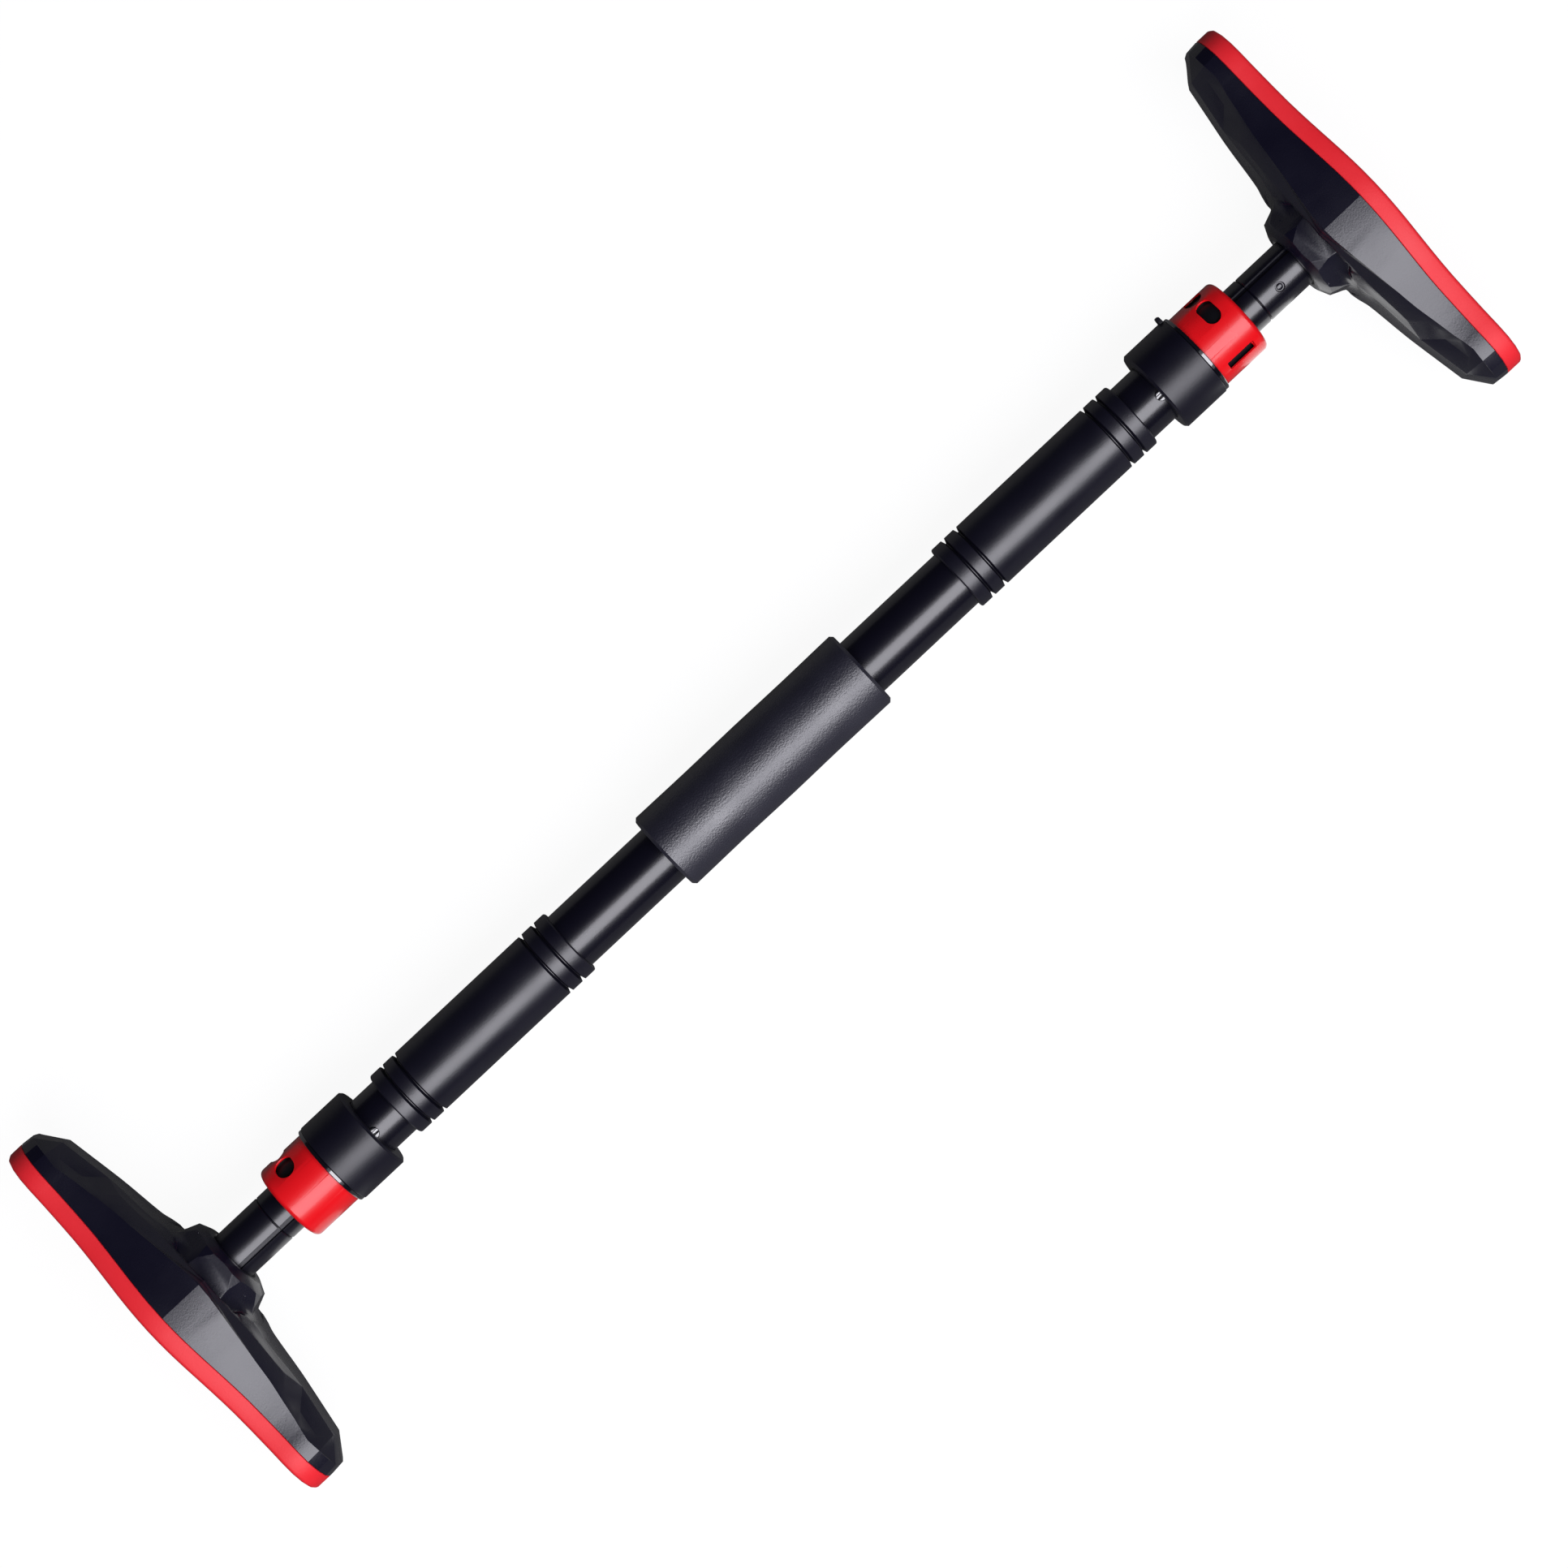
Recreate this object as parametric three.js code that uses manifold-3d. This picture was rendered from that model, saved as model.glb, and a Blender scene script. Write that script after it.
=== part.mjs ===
import * as THREE from 'three';
import { mergeVertices, toCreasedNormals } from 'three/addons/utils/BufferGeometryUtils.js';
import Module from 'manifold-3d';

// Doorway pull up bar, lying on the long sides of its two feet.
// X runs along the bar, Y along the feet and Z up. All sizes are in millimetres.
// Each end is built in an end frame whose X is the distance from the middle of the bar.

const wasm = await Module();
wasm.setup();

// Driving sizes along the bar, from the middle outwards
const sleeveLength = 133;
const sleeveGap = 63.5;
const gripLength = 117.4;
const gripGap = 15.6;
const collarLength = 28.6;
const ringShown = 28;
const rodReach = 36.6;
const footDepth = 49.6;

// Driving diameters and walls
const tubeDiameter = 32;
const tubeWall = 1.5;
const sleeveDiameter = 44.2;
const gripDiameter = 37.4;
const hubDiameter = 38;
const ringDiameter = 42.6;
const collarDiameter = 46.6;
const rodDiameter = 26.6;
const rodWall = 2.6;

// The screw: travel for one turn, and whole turns out from the built length
const screwLead = 3;
const turnsOut = 24;

// Clearance between neighbours, and the overrun of every cut
const seat = 0.3;
const overrun = 1;

// Facets round a full circle, and steps in a quarter round
const outerSides = 24;
const innerSides = 16;
const arcSteps = 2;

// Foam sleeve and rubber grips
const sleeveRound = 3;
const gripRound = 1.5;
const grooveInset = 6.6;
const grooveLength = 2.2;
const grooveDepth = 1.3;
const ribLength = 6;

// Sliding collar, and the key on the tube that keeps it from turning
const collarThickLength = 12;
const collarChamfer = 1.4;
const mouthSlack = 0.5;
const mouthCover = 6;
const mouthChamferLength = 2;
const mouthChamferDepth = 1;
const rimGroove = 0.5;
const tabLength = 1.6;
const tabWidth = 7;
const tabRise = 2.2;
const keyLength = 9;
const keyShown = 3;
const keyWidth = 6;
const keyRise = 1.7;
const keySlotWidth = 1.2;
const keySlotDepth = 0.8;

// Teeth in the collar and notches in the adjusting ring
const toothCount = 12;
const notchDepth = 4;
const notchWidth = 5.6;
const notchFlare = 0.6;
const notchSlack = 0.35;
const toothTipGap = 0.5;

// Red adjusting ring and the black plate that drives the rod
const ringRound = 2;
const ringEdge = 0.5;
const ringRecess = 4.6;
const ringWeb = 2;
const drivePlateDiameter = 34;
const drivePlateThickness = 3;
const ovalInset = 12.4;
const ovalWidth = 7.4;
const ovalLength = 13.4;
const roundHoleInset = 13.2;
const roundHoleDiameter = 9.6;
const lineSlotInset = 14.3;
const lineSlotLength = 14.8;
const lineSlotWidth = 3.4;
const arrowInset = 13;
const arrowLength = 25;
const arrowShaftWidth = 6;
const arrowHeadWidth = 11.6;
const arrowHeadLength = 7.5;
const wrapStep = 7;

// Threaded hub on the tube end
const nutLength = 12;
const hubChamfer = 0.8;
const snapHeight = 0.7;
const snapLength = 2.2;

// Rod, its inner plug and its end piece
const rodJointReach = 9.6;
const keywayWidth = 3;
const keywayDepth = 1.3;
const keywayAngle = 0.5;
const plugLength = 15;
const plugFlange = 4;
const plugBore = 12;
const spigotLength = 14;
const endPieceRound = 3;
const keywayOverlap = 6;
const rivetReach = 22;
const rivetDiameter = 4;
const rivetLength = 5;

// Foot: plan, heights, moat, boss and socket
const footLength = 222;
const footWidth = 82;
const armWidth = 55;
const bulgeReach = 90;
const bulgeStartShare = 0.09;
const tipRadius = 20;
const tipSteps = 4;
const padThickness = 9.6;
const padRound = 2;
const ridgeHeight = 23.5;
const wallDraft = 2.2;
const moatDiameter = 68;
const moatFloorDiameter = 63;
const moatRim = 26;
const moatFloor = 21;
const bossAcross = 45;
const bossFootAcross = 60;
const bossSides = 8;
const rimChamfer = 3;
const rimInset = 4;
const rimFlare = 2;
const socketDiameter = 27.6;
const socketChamfer = 1.1;
const socketDepth = 24;
const washerThickness = 2;

// Height of the foot's outer ridge, as shares of its half length and of the ridge's peak
const ridgeReachShares = [0, 0.07, 0.28, 0.42, 0.52, 0.62, 0.72, 0.82, 0.9, 1];
const ridgeHeightShares = [1, 0.98, 0.81, 0.68, 0.6, 0.5, 0.41, 0.31, 0.33, 0.3];

// Corners of the facets on the foot's top: shares of half length, local half width and ridge peak
const facetShares = {
  crestMiddle: [0, 0, 1.37],
  crestSide: [0, 0.5, 1.37],
  shoulder: [0.25, 0.5, 1.17],
  apex: [0.63, 0.38, 0.889],
  tipCorner: [0.88, 0.4, 0.679],
  crestEnd: [0.9, 0, 0.662],
  ledgeMiddle: [0, 0.87, 1.1],
  ledgeBend: [0.26, 0.75, 1.02],
  fold: [0.53, 0.63, 0.88],
  notch: [0.705, 0.68, 0.55],
  tipFold: [0.83, 0.74, 0.46],
};

// Places on the ridge where the facets' edges end, as shares of the half length
const diagonalShare = 0.42;
const chevronShare = 0.62;
const diagonalSteps = 6;
const chevronSteps = 4;
const armSteps = 4;

// Angles round the bar from the top, in degrees, each in its own end frame
const rightAngles = {
  key: -12, tab: 83, oval: 30, roundHole: 72, lineSlot: -50, arrow: -130, rivet: -20,
};
const leftAngles = {
  key: 12, tab: 200, oval: -88, roundHole: -43, lineSlot: 50, arrow: 130, rivet: 140,
};

// Places worked out from the sizes above
const tubeRadius = tubeDiameter / 2;
const tubeBore = tubeRadius - tubeWall;
const hubRadius = hubDiameter / 2;
const ringRadius = ringDiameter / 2;
const collarRadius = collarDiameter / 2;
const mouthRadius = ringRadius + mouthSlack;
const rodRadius = rodDiameter / 2;
const rodBore = rodRadius - rodWall;
const gripStart = sleeveLength / 2 + sleeveGap;
const collarStart = gripStart + gripLength + gripGap;
const collarShoulder = collarStart + collarThickLength;
const collarEnd = collarStart + collarLength;
const ringStart = collarEnd - mouthCover;
const ringEnd = collarEnd + ringShown;
const bossEnd = ringEnd + rodReach;
const halfLength = bossEnd + footDepth;
const lockTravel = notchDepth + toothTipGap - seat;
const hubStart = collarShoulder + lockTravel + seat;
const hubEnd = ringEnd - ringRecess - ringWeb - seat;
const tubeEnd = hubEnd - nutLength - seat;
const snapMiddle = ringStart + notchDepth + snapLength;
const toothBore = hubRadius + seat;
const keyMiddle = collarStart + keyLength / 2 - keyShown;
const keyTop = tubeRadius + keyRise;
const rodJoint = ringEnd + rodJointReach;
const rodStart = tubeEnd - screwLead * turnsOut - 2 * seat;
const rodTip = bossEnd + socketDepth;
const footBase = halfLength - padThickness - seat;
const halfFoot = footLength / 2;
const tipStart = halfFoot - tipRadius;

const colours = {
  tube: 0x17171b,
  foam: 0x141416,
  rubber: 0x151518,
  black: 0x121215,
  red: 0xe2182c,
  pad: 0xe8323e,
  zinc: 0x9a9ca2,
};

const radians = THREE.MathUtils.degToRad;
const creaseAngle = radians(20);

// Closed solid from a geometry: shared corners merged, faces turned outwards
function solidOf(geometry) {
  const bare = new THREE.BufferGeometry();
  bare.setAttribute('position', geometry.getAttribute('position').clone());
  if (geometry.index) bare.setIndex(geometry.index.clone());
  const merged = mergeVertices(bare, 1e-4);
  const spots = merged.getAttribute('position');
  const corners = Array.from(merged.index.array);
  const kept = [];
  let volume = 0;
  const a = new THREE.Vector3();
  const b = new THREE.Vector3();
  const c = new THREE.Vector3();
  for (let i = 0; i < corners.length; i += 3) {
    const [p, q, r] = corners.slice(i, i + 3);
    if (p === q || q === r || r === p) continue;
    kept.push(p, q, r);
    a.fromBufferAttribute(spots, p);
    b.fromBufferAttribute(spots, q);
    c.fromBufferAttribute(spots, r);
    volume += a.dot(b.cross(c));
  }
  if (volume < 0) kept.reverse();
  return new wasm.Manifold(new wasm.Mesh({
    numProp: 3,
    vertProperties: new Float32Array(spots.array),
    triVerts: new Uint32Array(kept),
  }));
}

function meshOf(name, solid, colour, roughness, metalness = 0) {
  const data = solid.getMesh();
  const geometry = new THREE.BufferGeometry();
  const spots = new Float32Array(data.vertProperties);
  geometry.setAttribute('position', new THREE.BufferAttribute(spots, data.numProp));
  geometry.setIndex(new THREE.BufferAttribute(new Uint32Array(data.triVerts), 1));
  const material = new THREE.MeshStandardMaterial({ color: colour, roughness, metalness });
  const mesh = new THREE.Mesh(toCreasedNormals(geometry, creaseAngle), material);
  mesh.name = name;
  return mesh;
}

// Solid of revolution about X from the closed outline [x, radius]
function revolve(outline, sides, startAngle = 0) {
  const profile = outline.map(([x, radius]) => new THREE.Vector2(radius, x));
  profile.push(profile[0].clone());
  const geometry = new THREE.LatheGeometry(profile, sides, startAngle);
  geometry.rotateZ(-Math.PI / 2);
  return solidOf(geometry);
}

function rod(start, end, radius, sides) {
  return revolve([[start, 0], [end, 0], [end, radius], [start, radius]], sides);
}

// Points of an arc in an outline, between two quarter turns from the X direction
function arc(x, radius, size, fromQuarter, toQuarter) {
  const points = [];
  for (let i = 0; i <= arcSteps; i += 1) {
    const angle = (fromQuarter + (toQuarter - fromQuarter) * (i / arcSteps)) * (Math.PI / 2);
    points.push([x + size * Math.cos(angle), radius + size * Math.sin(angle)]);
  }
  return points;
}

// Prism from a flat outline [along the bar, across it], standing up at an angle from the top
function standingPrism(outline, x, angle, fromRadius, toRadius) {
  const shape = new THREE.Shape(outline.map(([u, v]) => new THREE.Vector2(u, v)));
  const geometry = new THREE.ExtrudeGeometry(shape, {
    depth: toRadius - fromRadius,
    bevelEnabled: false,
  });
  geometry.translate(x, 0, fromRadius);
  geometry.rotateX(-angle);
  return solidOf(geometry);
}

// Prism from an outline [along the bar, round it], bent round the bar at the ring's surface
function wrappedPrism(outline, x, angle, fromRadius, toRadius) {
  const flat = standingPrism(outline, 0, 0, fromRadius, toRadius).refineToLength(wrapStep);
  return flat.warp((spot) => {
    const turn = angle + spot[1] / ringRadius;
    const out = spot[2];
    spot[0] += x;
    spot[1] = out * Math.sin(turn);
    spot[2] = out * Math.cos(turn);
  });
}

function rectangle(length, width) {
  const [x, y] = [length / 2, width / 2];
  return [[-x, -y], [x, -y], [x, y], [-x, y]];
}

function circle(diameter, sides) {
  const points = [];
  for (let i = 0; i < sides; i += 1) {
    const angle = (i / sides) * 2 * Math.PI;
    points.push([(diameter / 2) * Math.cos(angle), (diameter / 2) * Math.sin(angle)]);
  }
  return points;
}

// Slot with round ends, its length running round the bar
function roundSlot(width, length) {
  const points = [];
  const half = width / 2;
  const reach = length / 2 - half;
  const steps = 2 * arcSteps;
  for (const end of [1, -1]) {
    for (let i = 0; i <= steps; i += 1) {
      const angle = (i / steps) * Math.PI;
      points.push([end * half * Math.cos(angle), end * (reach + half * Math.sin(angle))]);
    }
  }
  return points;
}

// Arrow that points round the bar
function arrowOutline() {
  const tip = arrowLength / 2;
  const neck = tip - arrowHeadLength;
  const shaft = arrowShaftWidth / 2;
  const head = arrowHeadWidth / 2;
  return [
    [-shaft, -tip],
    [shaft, -tip],
    [shaft, neck],
    [head, neck],
    [0, tip],
    [-head, neck],
    [-shaft, neck],
  ];
}

// Main tube, with an opening near each end for its collar's key
function mainTube() {
  const outline = [
    [-tubeEnd, tubeBore],
    [tubeEnd, tubeBore],
    [tubeEnd, tubeRadius],
    [-tubeEnd, tubeRadius],
  ];
  const opening = keyPrism(seat, 0, keyTop);
  const right = opening.rotate([-rightAngles.key, 0, 0]);
  const left = opening.rotate([-leftAngles.key, 0, 0]).rotate([0, 0, 180]);
  return revolve(outline, outerSides).subtract(right).subtract(left);
}

// Upright prism with the key's rounded outline, widened by an allowance
function keyPrism(allowance, fromRadius, toRadius) {
  const outline = roundSlot(keyWidth + 2 * allowance, keyLength + 2 * allowance);
  const along = outline.map(([across, length]) => [length, across]);
  return standingPrism(along, keyMiddle, 0, fromRadius, toRadius);
}

// Key set in the tube, with a slot across its top
function collarKey(angle) {
  const key = keyPrism(0, tubeBore + seat, keyTop);
  const slot = rectangle(keySlotWidth, keyWidth + 2 * overrun);
  const slotMiddle = collarStart - keyShown / 2;
  const cut = standingPrism(slot, slotMiddle, 0, keyTop - keySlotDepth, keyTop + overrun);
  return key.subtract(cut).rotate([-angle, 0, 0]);
}

function centreSleeve() {
  const end = sleeveLength / 2;
  const inner = tubeRadius + seat;
  const edge = sleeveDiameter / 2 - sleeveRound;
  return revolve([
    [-end, inner],
    [end, inner],
    ...arc(end - sleeveRound, edge, sleeveRound, 0, 1),
    ...arc(-end + sleeveRound, edge, sleeveRound, 1, 2),
  ], outerSides);
}

// Side grip with two ring grooves near each end
function sideGrip() {
  const end = gripStart + gripLength;
  const inner = tubeRadius + seat;
  const outer = gripDiameter / 2;
  const grooves = [];
  for (const inset of [grooveInset, grooveInset + grooveLength + ribLength]) {
    grooves.push([inset, outer]);
    grooves.push([inset, outer - grooveDepth]);
    grooves.push([inset + grooveLength, outer - grooveDepth]);
    grooves.push([inset + grooveLength, outer]);
  }
  return revolve([
    [gripStart, inner],
    [end, inner],
    ...arc(end - gripRound, outer - gripRound, gripRound, 0, 1),
    ...grooves.map(([inset, radius]) => [end - inset, radius]),
    ...grooves.reverse().map(([inset, radius]) => [gripStart + inset, radius]),
    ...arc(gripStart + gripRound, outer - gripRound, gripRound, 1, 2),
  ], outerSides);
}

// Hub on the tube end: the rod's screw runs in its bore and the red ring turns on it
function hub() {
  const groove = hubRadius - snapHeight;
  const grooveHalf = snapLength / 2 + seat;
  return revolve([
    [hubStart, tubeRadius + seat],
    [tubeEnd + seat, tubeRadius + seat],
    [tubeEnd + seat, rodRadius + seat],
    [hubEnd, rodRadius + seat],
    [hubEnd, hubRadius - hubChamfer],
    [hubEnd - hubChamfer, hubRadius],
    [snapMiddle + grooveHalf, hubRadius],
    [snapMiddle + grooveHalf, groove],
    [snapMiddle - grooveHalf, groove],
    [snapMiddle - grooveHalf, hubRadius],
    [hubStart + hubChamfer, hubRadius],
    [hubStart, hubRadius - hubChamfer],
  ], outerSides);
}

// Collar that slides on the tube, thick at the grip and open at the ring
function lockCollar(keyAngle, tabAngle) {
  const bore = tubeRadius + seat;
  const rim = collarEnd - mouthChamferLength;
  const collar = revolve([
    [collarStart, bore],
    [collarShoulder, bore],
    [collarShoulder, mouthRadius],
    [collarEnd, mouthRadius],
    [collarEnd, collarRadius - mouthChamferDepth],
    [rim, collarRadius],
    [rim - rimGroove, collarRadius - rimGroove],
    [rim - 2 * rimGroove, collarRadius],
    [collarStart + collarChamfer, collarRadius],
    [collarStart, collarRadius - collarChamfer],
  ], outerSides);
  const tab = standingPrism(rectangle(tabLength, tabWidth), rim - rimGroove, tabAngle,
    (mouthRadius + collarRadius) / 2, collarRadius + tabRise);
  const keyway = standingPrism(
    rectangle(collarThickLength + 2 * overrun, keyWidth + 2 * seat),
    collarStart + collarThickLength / 2, keyAngle, bore - overrun, keyTop + seat);
  return collar.add(tab).subtract(keyway);
}

// Outline of a tooth or notch, narrower at its tip and with a straight tail behind its root
function toothOutline(slack, tail) {
  const tip = notchWidth / 2 - slack;
  const root = tip + notchFlare;
  return [[-tail, -root], [0, -root], [notchDepth, -tip], [notchDepth, tip], [0, root], [-tail, root]];
}

// Toothed ring fixed in the collar
function toothRing() {
  const start = collarShoulder + seat;
  const outer = mouthRadius - seat;
  const face = ringStart - toothTipGap - notchDepth;
  let ring = revolve([
    [start, toothBore],
    [face, toothBore],
    [face, outer],
    [start, outer],
  ], outerSides);
  const outline = toothOutline(notchSlack, seat);
  for (let i = 0; i < toothCount; i += 1) {
    const angle = (i / toothCount) * 2 * Math.PI;
    ring = ring.add(wrappedPrism(outline, face, angle, toothBore + seat, outer));
  }
  return ring;
}

// Red ring with notches for the teeth, a web that drives the rod and windows in its wall
function adjustingRing(angles) {
  const bore = hubRadius + seat;
  const webStart = ringEnd - ringRecess - ringWeb;
  const recess = ringEnd - ringRecess;
  const plate = drivePlateDiameter / 2 + seat;
  let ring = revolve([
    [ringStart, bore],
    [snapMiddle - snapLength / 2, bore],
    [snapMiddle - snapLength / 4, bore - snapHeight],
    [snapMiddle + snapLength / 4, bore - snapHeight],
    [snapMiddle + snapLength / 2, bore],
    [webStart, bore],
    [webStart, rodRadius + 2 * seat],
    [recess, rodRadius + 2 * seat],
    [recess, plate],
    [ringEnd - ringEdge, plate],
    [ringEnd, plate + ringEdge],
    ...arc(ringEnd - ringRound, ringRadius - ringRound, ringRound, 0, 1),
    [ringStart + ringEdge, ringRadius],
    [ringStart, ringRadius - ringEdge],
  ], outerSides);
  const [low, high] = [bore - overrun, ringRadius + overrun];
  const notch = toothOutline(0, overrun);
  for (let i = 0; i < toothCount; i += 1) {
    const angle = (i / toothCount) * 2 * Math.PI;
    ring = ring.subtract(wrappedPrism(notch, ringStart, angle, low, high));
  }
  const windows = [
    [roundSlot(ovalWidth, ovalLength), ovalInset, angles.oval],
    [circle(roundHoleDiameter, innerSides), roundHoleInset, angles.roundHole],
    [rectangle(lineSlotLength, lineSlotWidth), lineSlotInset, angles.lineSlot],
    [arrowOutline(), arrowInset, angles.arrow],
  ];
  for (const [outline, inset, degrees] of windows) {
    const x = ringEnd - inset;
    ring = ring.subtract(wrappedPrism(outline, x, radians(degrees), low, high));
  }
  return ring;
}

// Plate in the red ring's recess, with a tongue in the rod's keyway
function drivePlate() {
  const start = ringEnd - ringRecess + seat;
  const end = start + drivePlateThickness;
  const bore = rodRadius + seat;
  const plate = revolve([
    [start, bore],
    [end, bore],
    [end, drivePlateDiameter / 2],
    [start, drivePlateDiameter / 2],
  ], outerSides);
  const tongue = rectangle(drivePlateThickness, keywayWidth - 2 * seat);
  return plate.add(standingPrism(tongue, (start + end) / 2, keywayAngle,
    rodRadius - keywayDepth + seat, bore + ringWeb));
}

function keyway(start, end) {
  const outline = rectangle(end - start, keywayWidth);
  return standingPrism(outline, (start + end) / 2, keywayAngle,
    rodRadius - keywayDepth, rodRadius + overrun);
}

// Steel rod, hollow, with a keyway along its length
function extensionRod() {
  const tube = revolve([
    [rodStart, rodBore],
    [rodJoint - seat, rodBore],
    [rodJoint - seat, rodRadius],
    [rodStart, rodRadius],
  ], outerSides);
  return tube.subtract(keyway(rodStart - overrun, rodJoint + overrun));
}

// Plug in the rod's inner end: its flange guides the rod in the tube and stops it at the hub
function rodPlug() {
  const flange = rodStart - seat;
  return revolve([
    [flange - plugFlange, plugBore / 2],
    [rodStart + plugLength, plugBore / 2],
    [rodStart + plugLength, rodBore - seat],
    [flange, rodBore - seat],
    [flange, tubeBore - seat],
    [flange - plugFlange, tubeBore - seat],
  ], innerSides);
}

// Moulded end piece of the rod, which goes into the foot's socket
function rodEndPiece(rivetAngle) {
  const body = revolve([
    [rodJoint - spigotLength, 0],
    [rodTip, 0],
    ...arc(rodTip - endPieceRound, rodRadius - endPieceRound, endPieceRound, 0, 1),
    [rodJoint, rodRadius],
    [rodJoint, rodBore - seat],
    [rodJoint - spigotLength, rodBore - seat],
  ], outerSides);
  const hole = standingPrism(circle(rivetDiameter + 2 * seat, innerSides / 2),
    ringEnd + rivetReach, rivetAngle, rodRadius - rivetLength - 2 * seat, rodRadius + overrun);
  return body.subtract(keyway(rodJoint - overrun, bossEnd + keywayOverlap)).subtract(hole);
}

function endRivet(rivetAngle) {
  return standingPrism(circle(rivetDiameter, innerSides / 2), ringEnd + rivetReach, rivetAngle,
    rodRadius - rivetLength - seat, rodRadius - seat);
}

function thrustWasher() {
  return rod(rodTip + seat, rodTip + seat + washerThickness, socketDiameter / 2 - seat, innerSides);
}

// Width that the middle of the foot adds on each side, with a crease at its peak
function bulgeAt(y) {
  if (Math.abs(y) >= bulgeReach) return 0;
  const share = bulgeStartShare + (1 - bulgeStartShare) * (Math.abs(y) / bulgeReach);
  const peak = 1 + Math.cos(Math.PI * bulgeStartShare);
  return ((footWidth - armWidth) / 2) * ((1 + Math.cos(Math.PI * share)) / peak);
}

// Stations round a quarter of the foot's outline: along the flank, then round the tip
function footStations() {
  const stations = [];
  const marks = [
    [0, diagonalShare * halfFoot, diagonalSteps],
    [diagonalShare * halfFoot, chevronShare * halfFoot, chevronSteps],
    [chevronShare * halfFoot, tipStart, armSteps],
  ];
  for (const [from, to, steps] of marks) {
    for (let i = 0; i < steps; i += 1) {
      stations.push({ y: from + (to - from) * (i / steps), turn: 0 });
    }
  }
  for (let i = 0; i <= tipSteps; i += 1) {
    stations.push({ y: tipStart, turn: (i / tipSteps) * (Math.PI / 2) });
  }
  return stations;
}

// Point [y, z] of the foot's outline at a station, drawn in by an inset
function outlinePoint({ y, turn }, inset) {
  const tip = tipRadius - inset;
  const flank = armWidth / 2 + bulgeAt(y) - inset;
  return [y + tip * Math.sin(turn), flank - tip * (1 - Math.cos(turn))];
}

// Whole closed outline from its quarter
function fullOutline(inset) {
  const quarter = footStations().map((station) => outlinePoint(station, inset));
  const half = [...quarter, ...quarter.slice(1).reverse().map(([y, z]) => [y, -z])];
  half.splice(quarter.length + quarter.length - 1, 0, [0, -quarter[0][1]]);
  const other = half.slice(1, -1).reverse().map(([y, z]) => [-y, z]);
  return [...half, ...other];
}

function addFace(corners, triangles) {
  for (const corner of triangles) corners.push(corner.x, corner.y, corner.z);
}

// Facet from its corners, cut into triangles as seen along X and turned to face up or down
function addFacet(corners, points, faceUp) {
  const flat = points.map((point) => new THREE.Vector2(point.y, point.z));
  for (const [a, b, c] of THREE.ShapeUtils.triangulateShape(flat, [])) {
    const clockwise = THREE.ShapeUtils.isClockWise([flat[a], flat[b], flat[c]]);
    const order = clockwise === faceUp ? [a, c, b] : [a, b, c];
    addFace(corners, order.map((i) => points[i]));
  }
}

function geometryOf(corners) {
  const geometry = new THREE.BufferGeometry();
  geometry.setAttribute('position', new THREE.Float32BufferAttribute(corners, 3));
  return geometry;
}

// Red pad: the foot's outline with a rounded edge on its outer face
function footPad() {
  const levels = [[halfLength - padThickness, 0]];
  for (const [inset, x] of arc(0, halfLength - padRound, padRound, 0, 1)) {
    levels.push([x, padRound - inset]);
  }
  const rings = levels.map(([x, inset]) => (
    fullOutline(inset).map(([y, z]) => new THREE.Vector3(x, y, z))
  ));
  const corners = [];
  const count = rings[0].length;
  for (let level = 0; level + 1 < rings.length; level += 1) {
    for (let i = 0; i < count; i += 1) {
      const j = (i + 1) % count;
      const [a, b, c, d] = [rings[level][i], rings[level][j], rings[level + 1][j], rings[level + 1][i]];
      addFace(corners, [a, c, b, a, d, c]);
    }
  }
  addFacet(corners, rings[0], false);
  addFacet(corners, rings[rings.length - 1], true);
  return solidOf(geometryOf(corners));
}

// Corner points of a quarter of the foot's top, wall and base
function footQuarter() {
  const heightAt = new THREE.CubicInterpolant(ridgeReachShares, ridgeHeightShares, 1);
  const ridge = [];
  const base = [];
  for (const station of footStations()) {
    const [baseY, baseZ] = outlinePoint(station, 0);
    const share = heightAt.evaluate(Math.min(baseY / halfFoot, 1))[0];
    const [y, z] = outlinePoint(station, wallDraft * share);
    base.push(new THREE.Vector3(0, baseY, baseZ));
    ridge.push(new THREE.Vector3(ridgeHeight * share, y, z));
  }
  const inner = {};
  for (const [name, [reach, across, height]] of Object.entries(facetShares)) {
    const y = reach * halfFoot;
    inner[name] = new THREE.Vector3(ridgeHeight * height, y,
      across * (armWidth / 2 + bulgeAt(y)));
  }
  return { ridge, base, inner };
}

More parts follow.
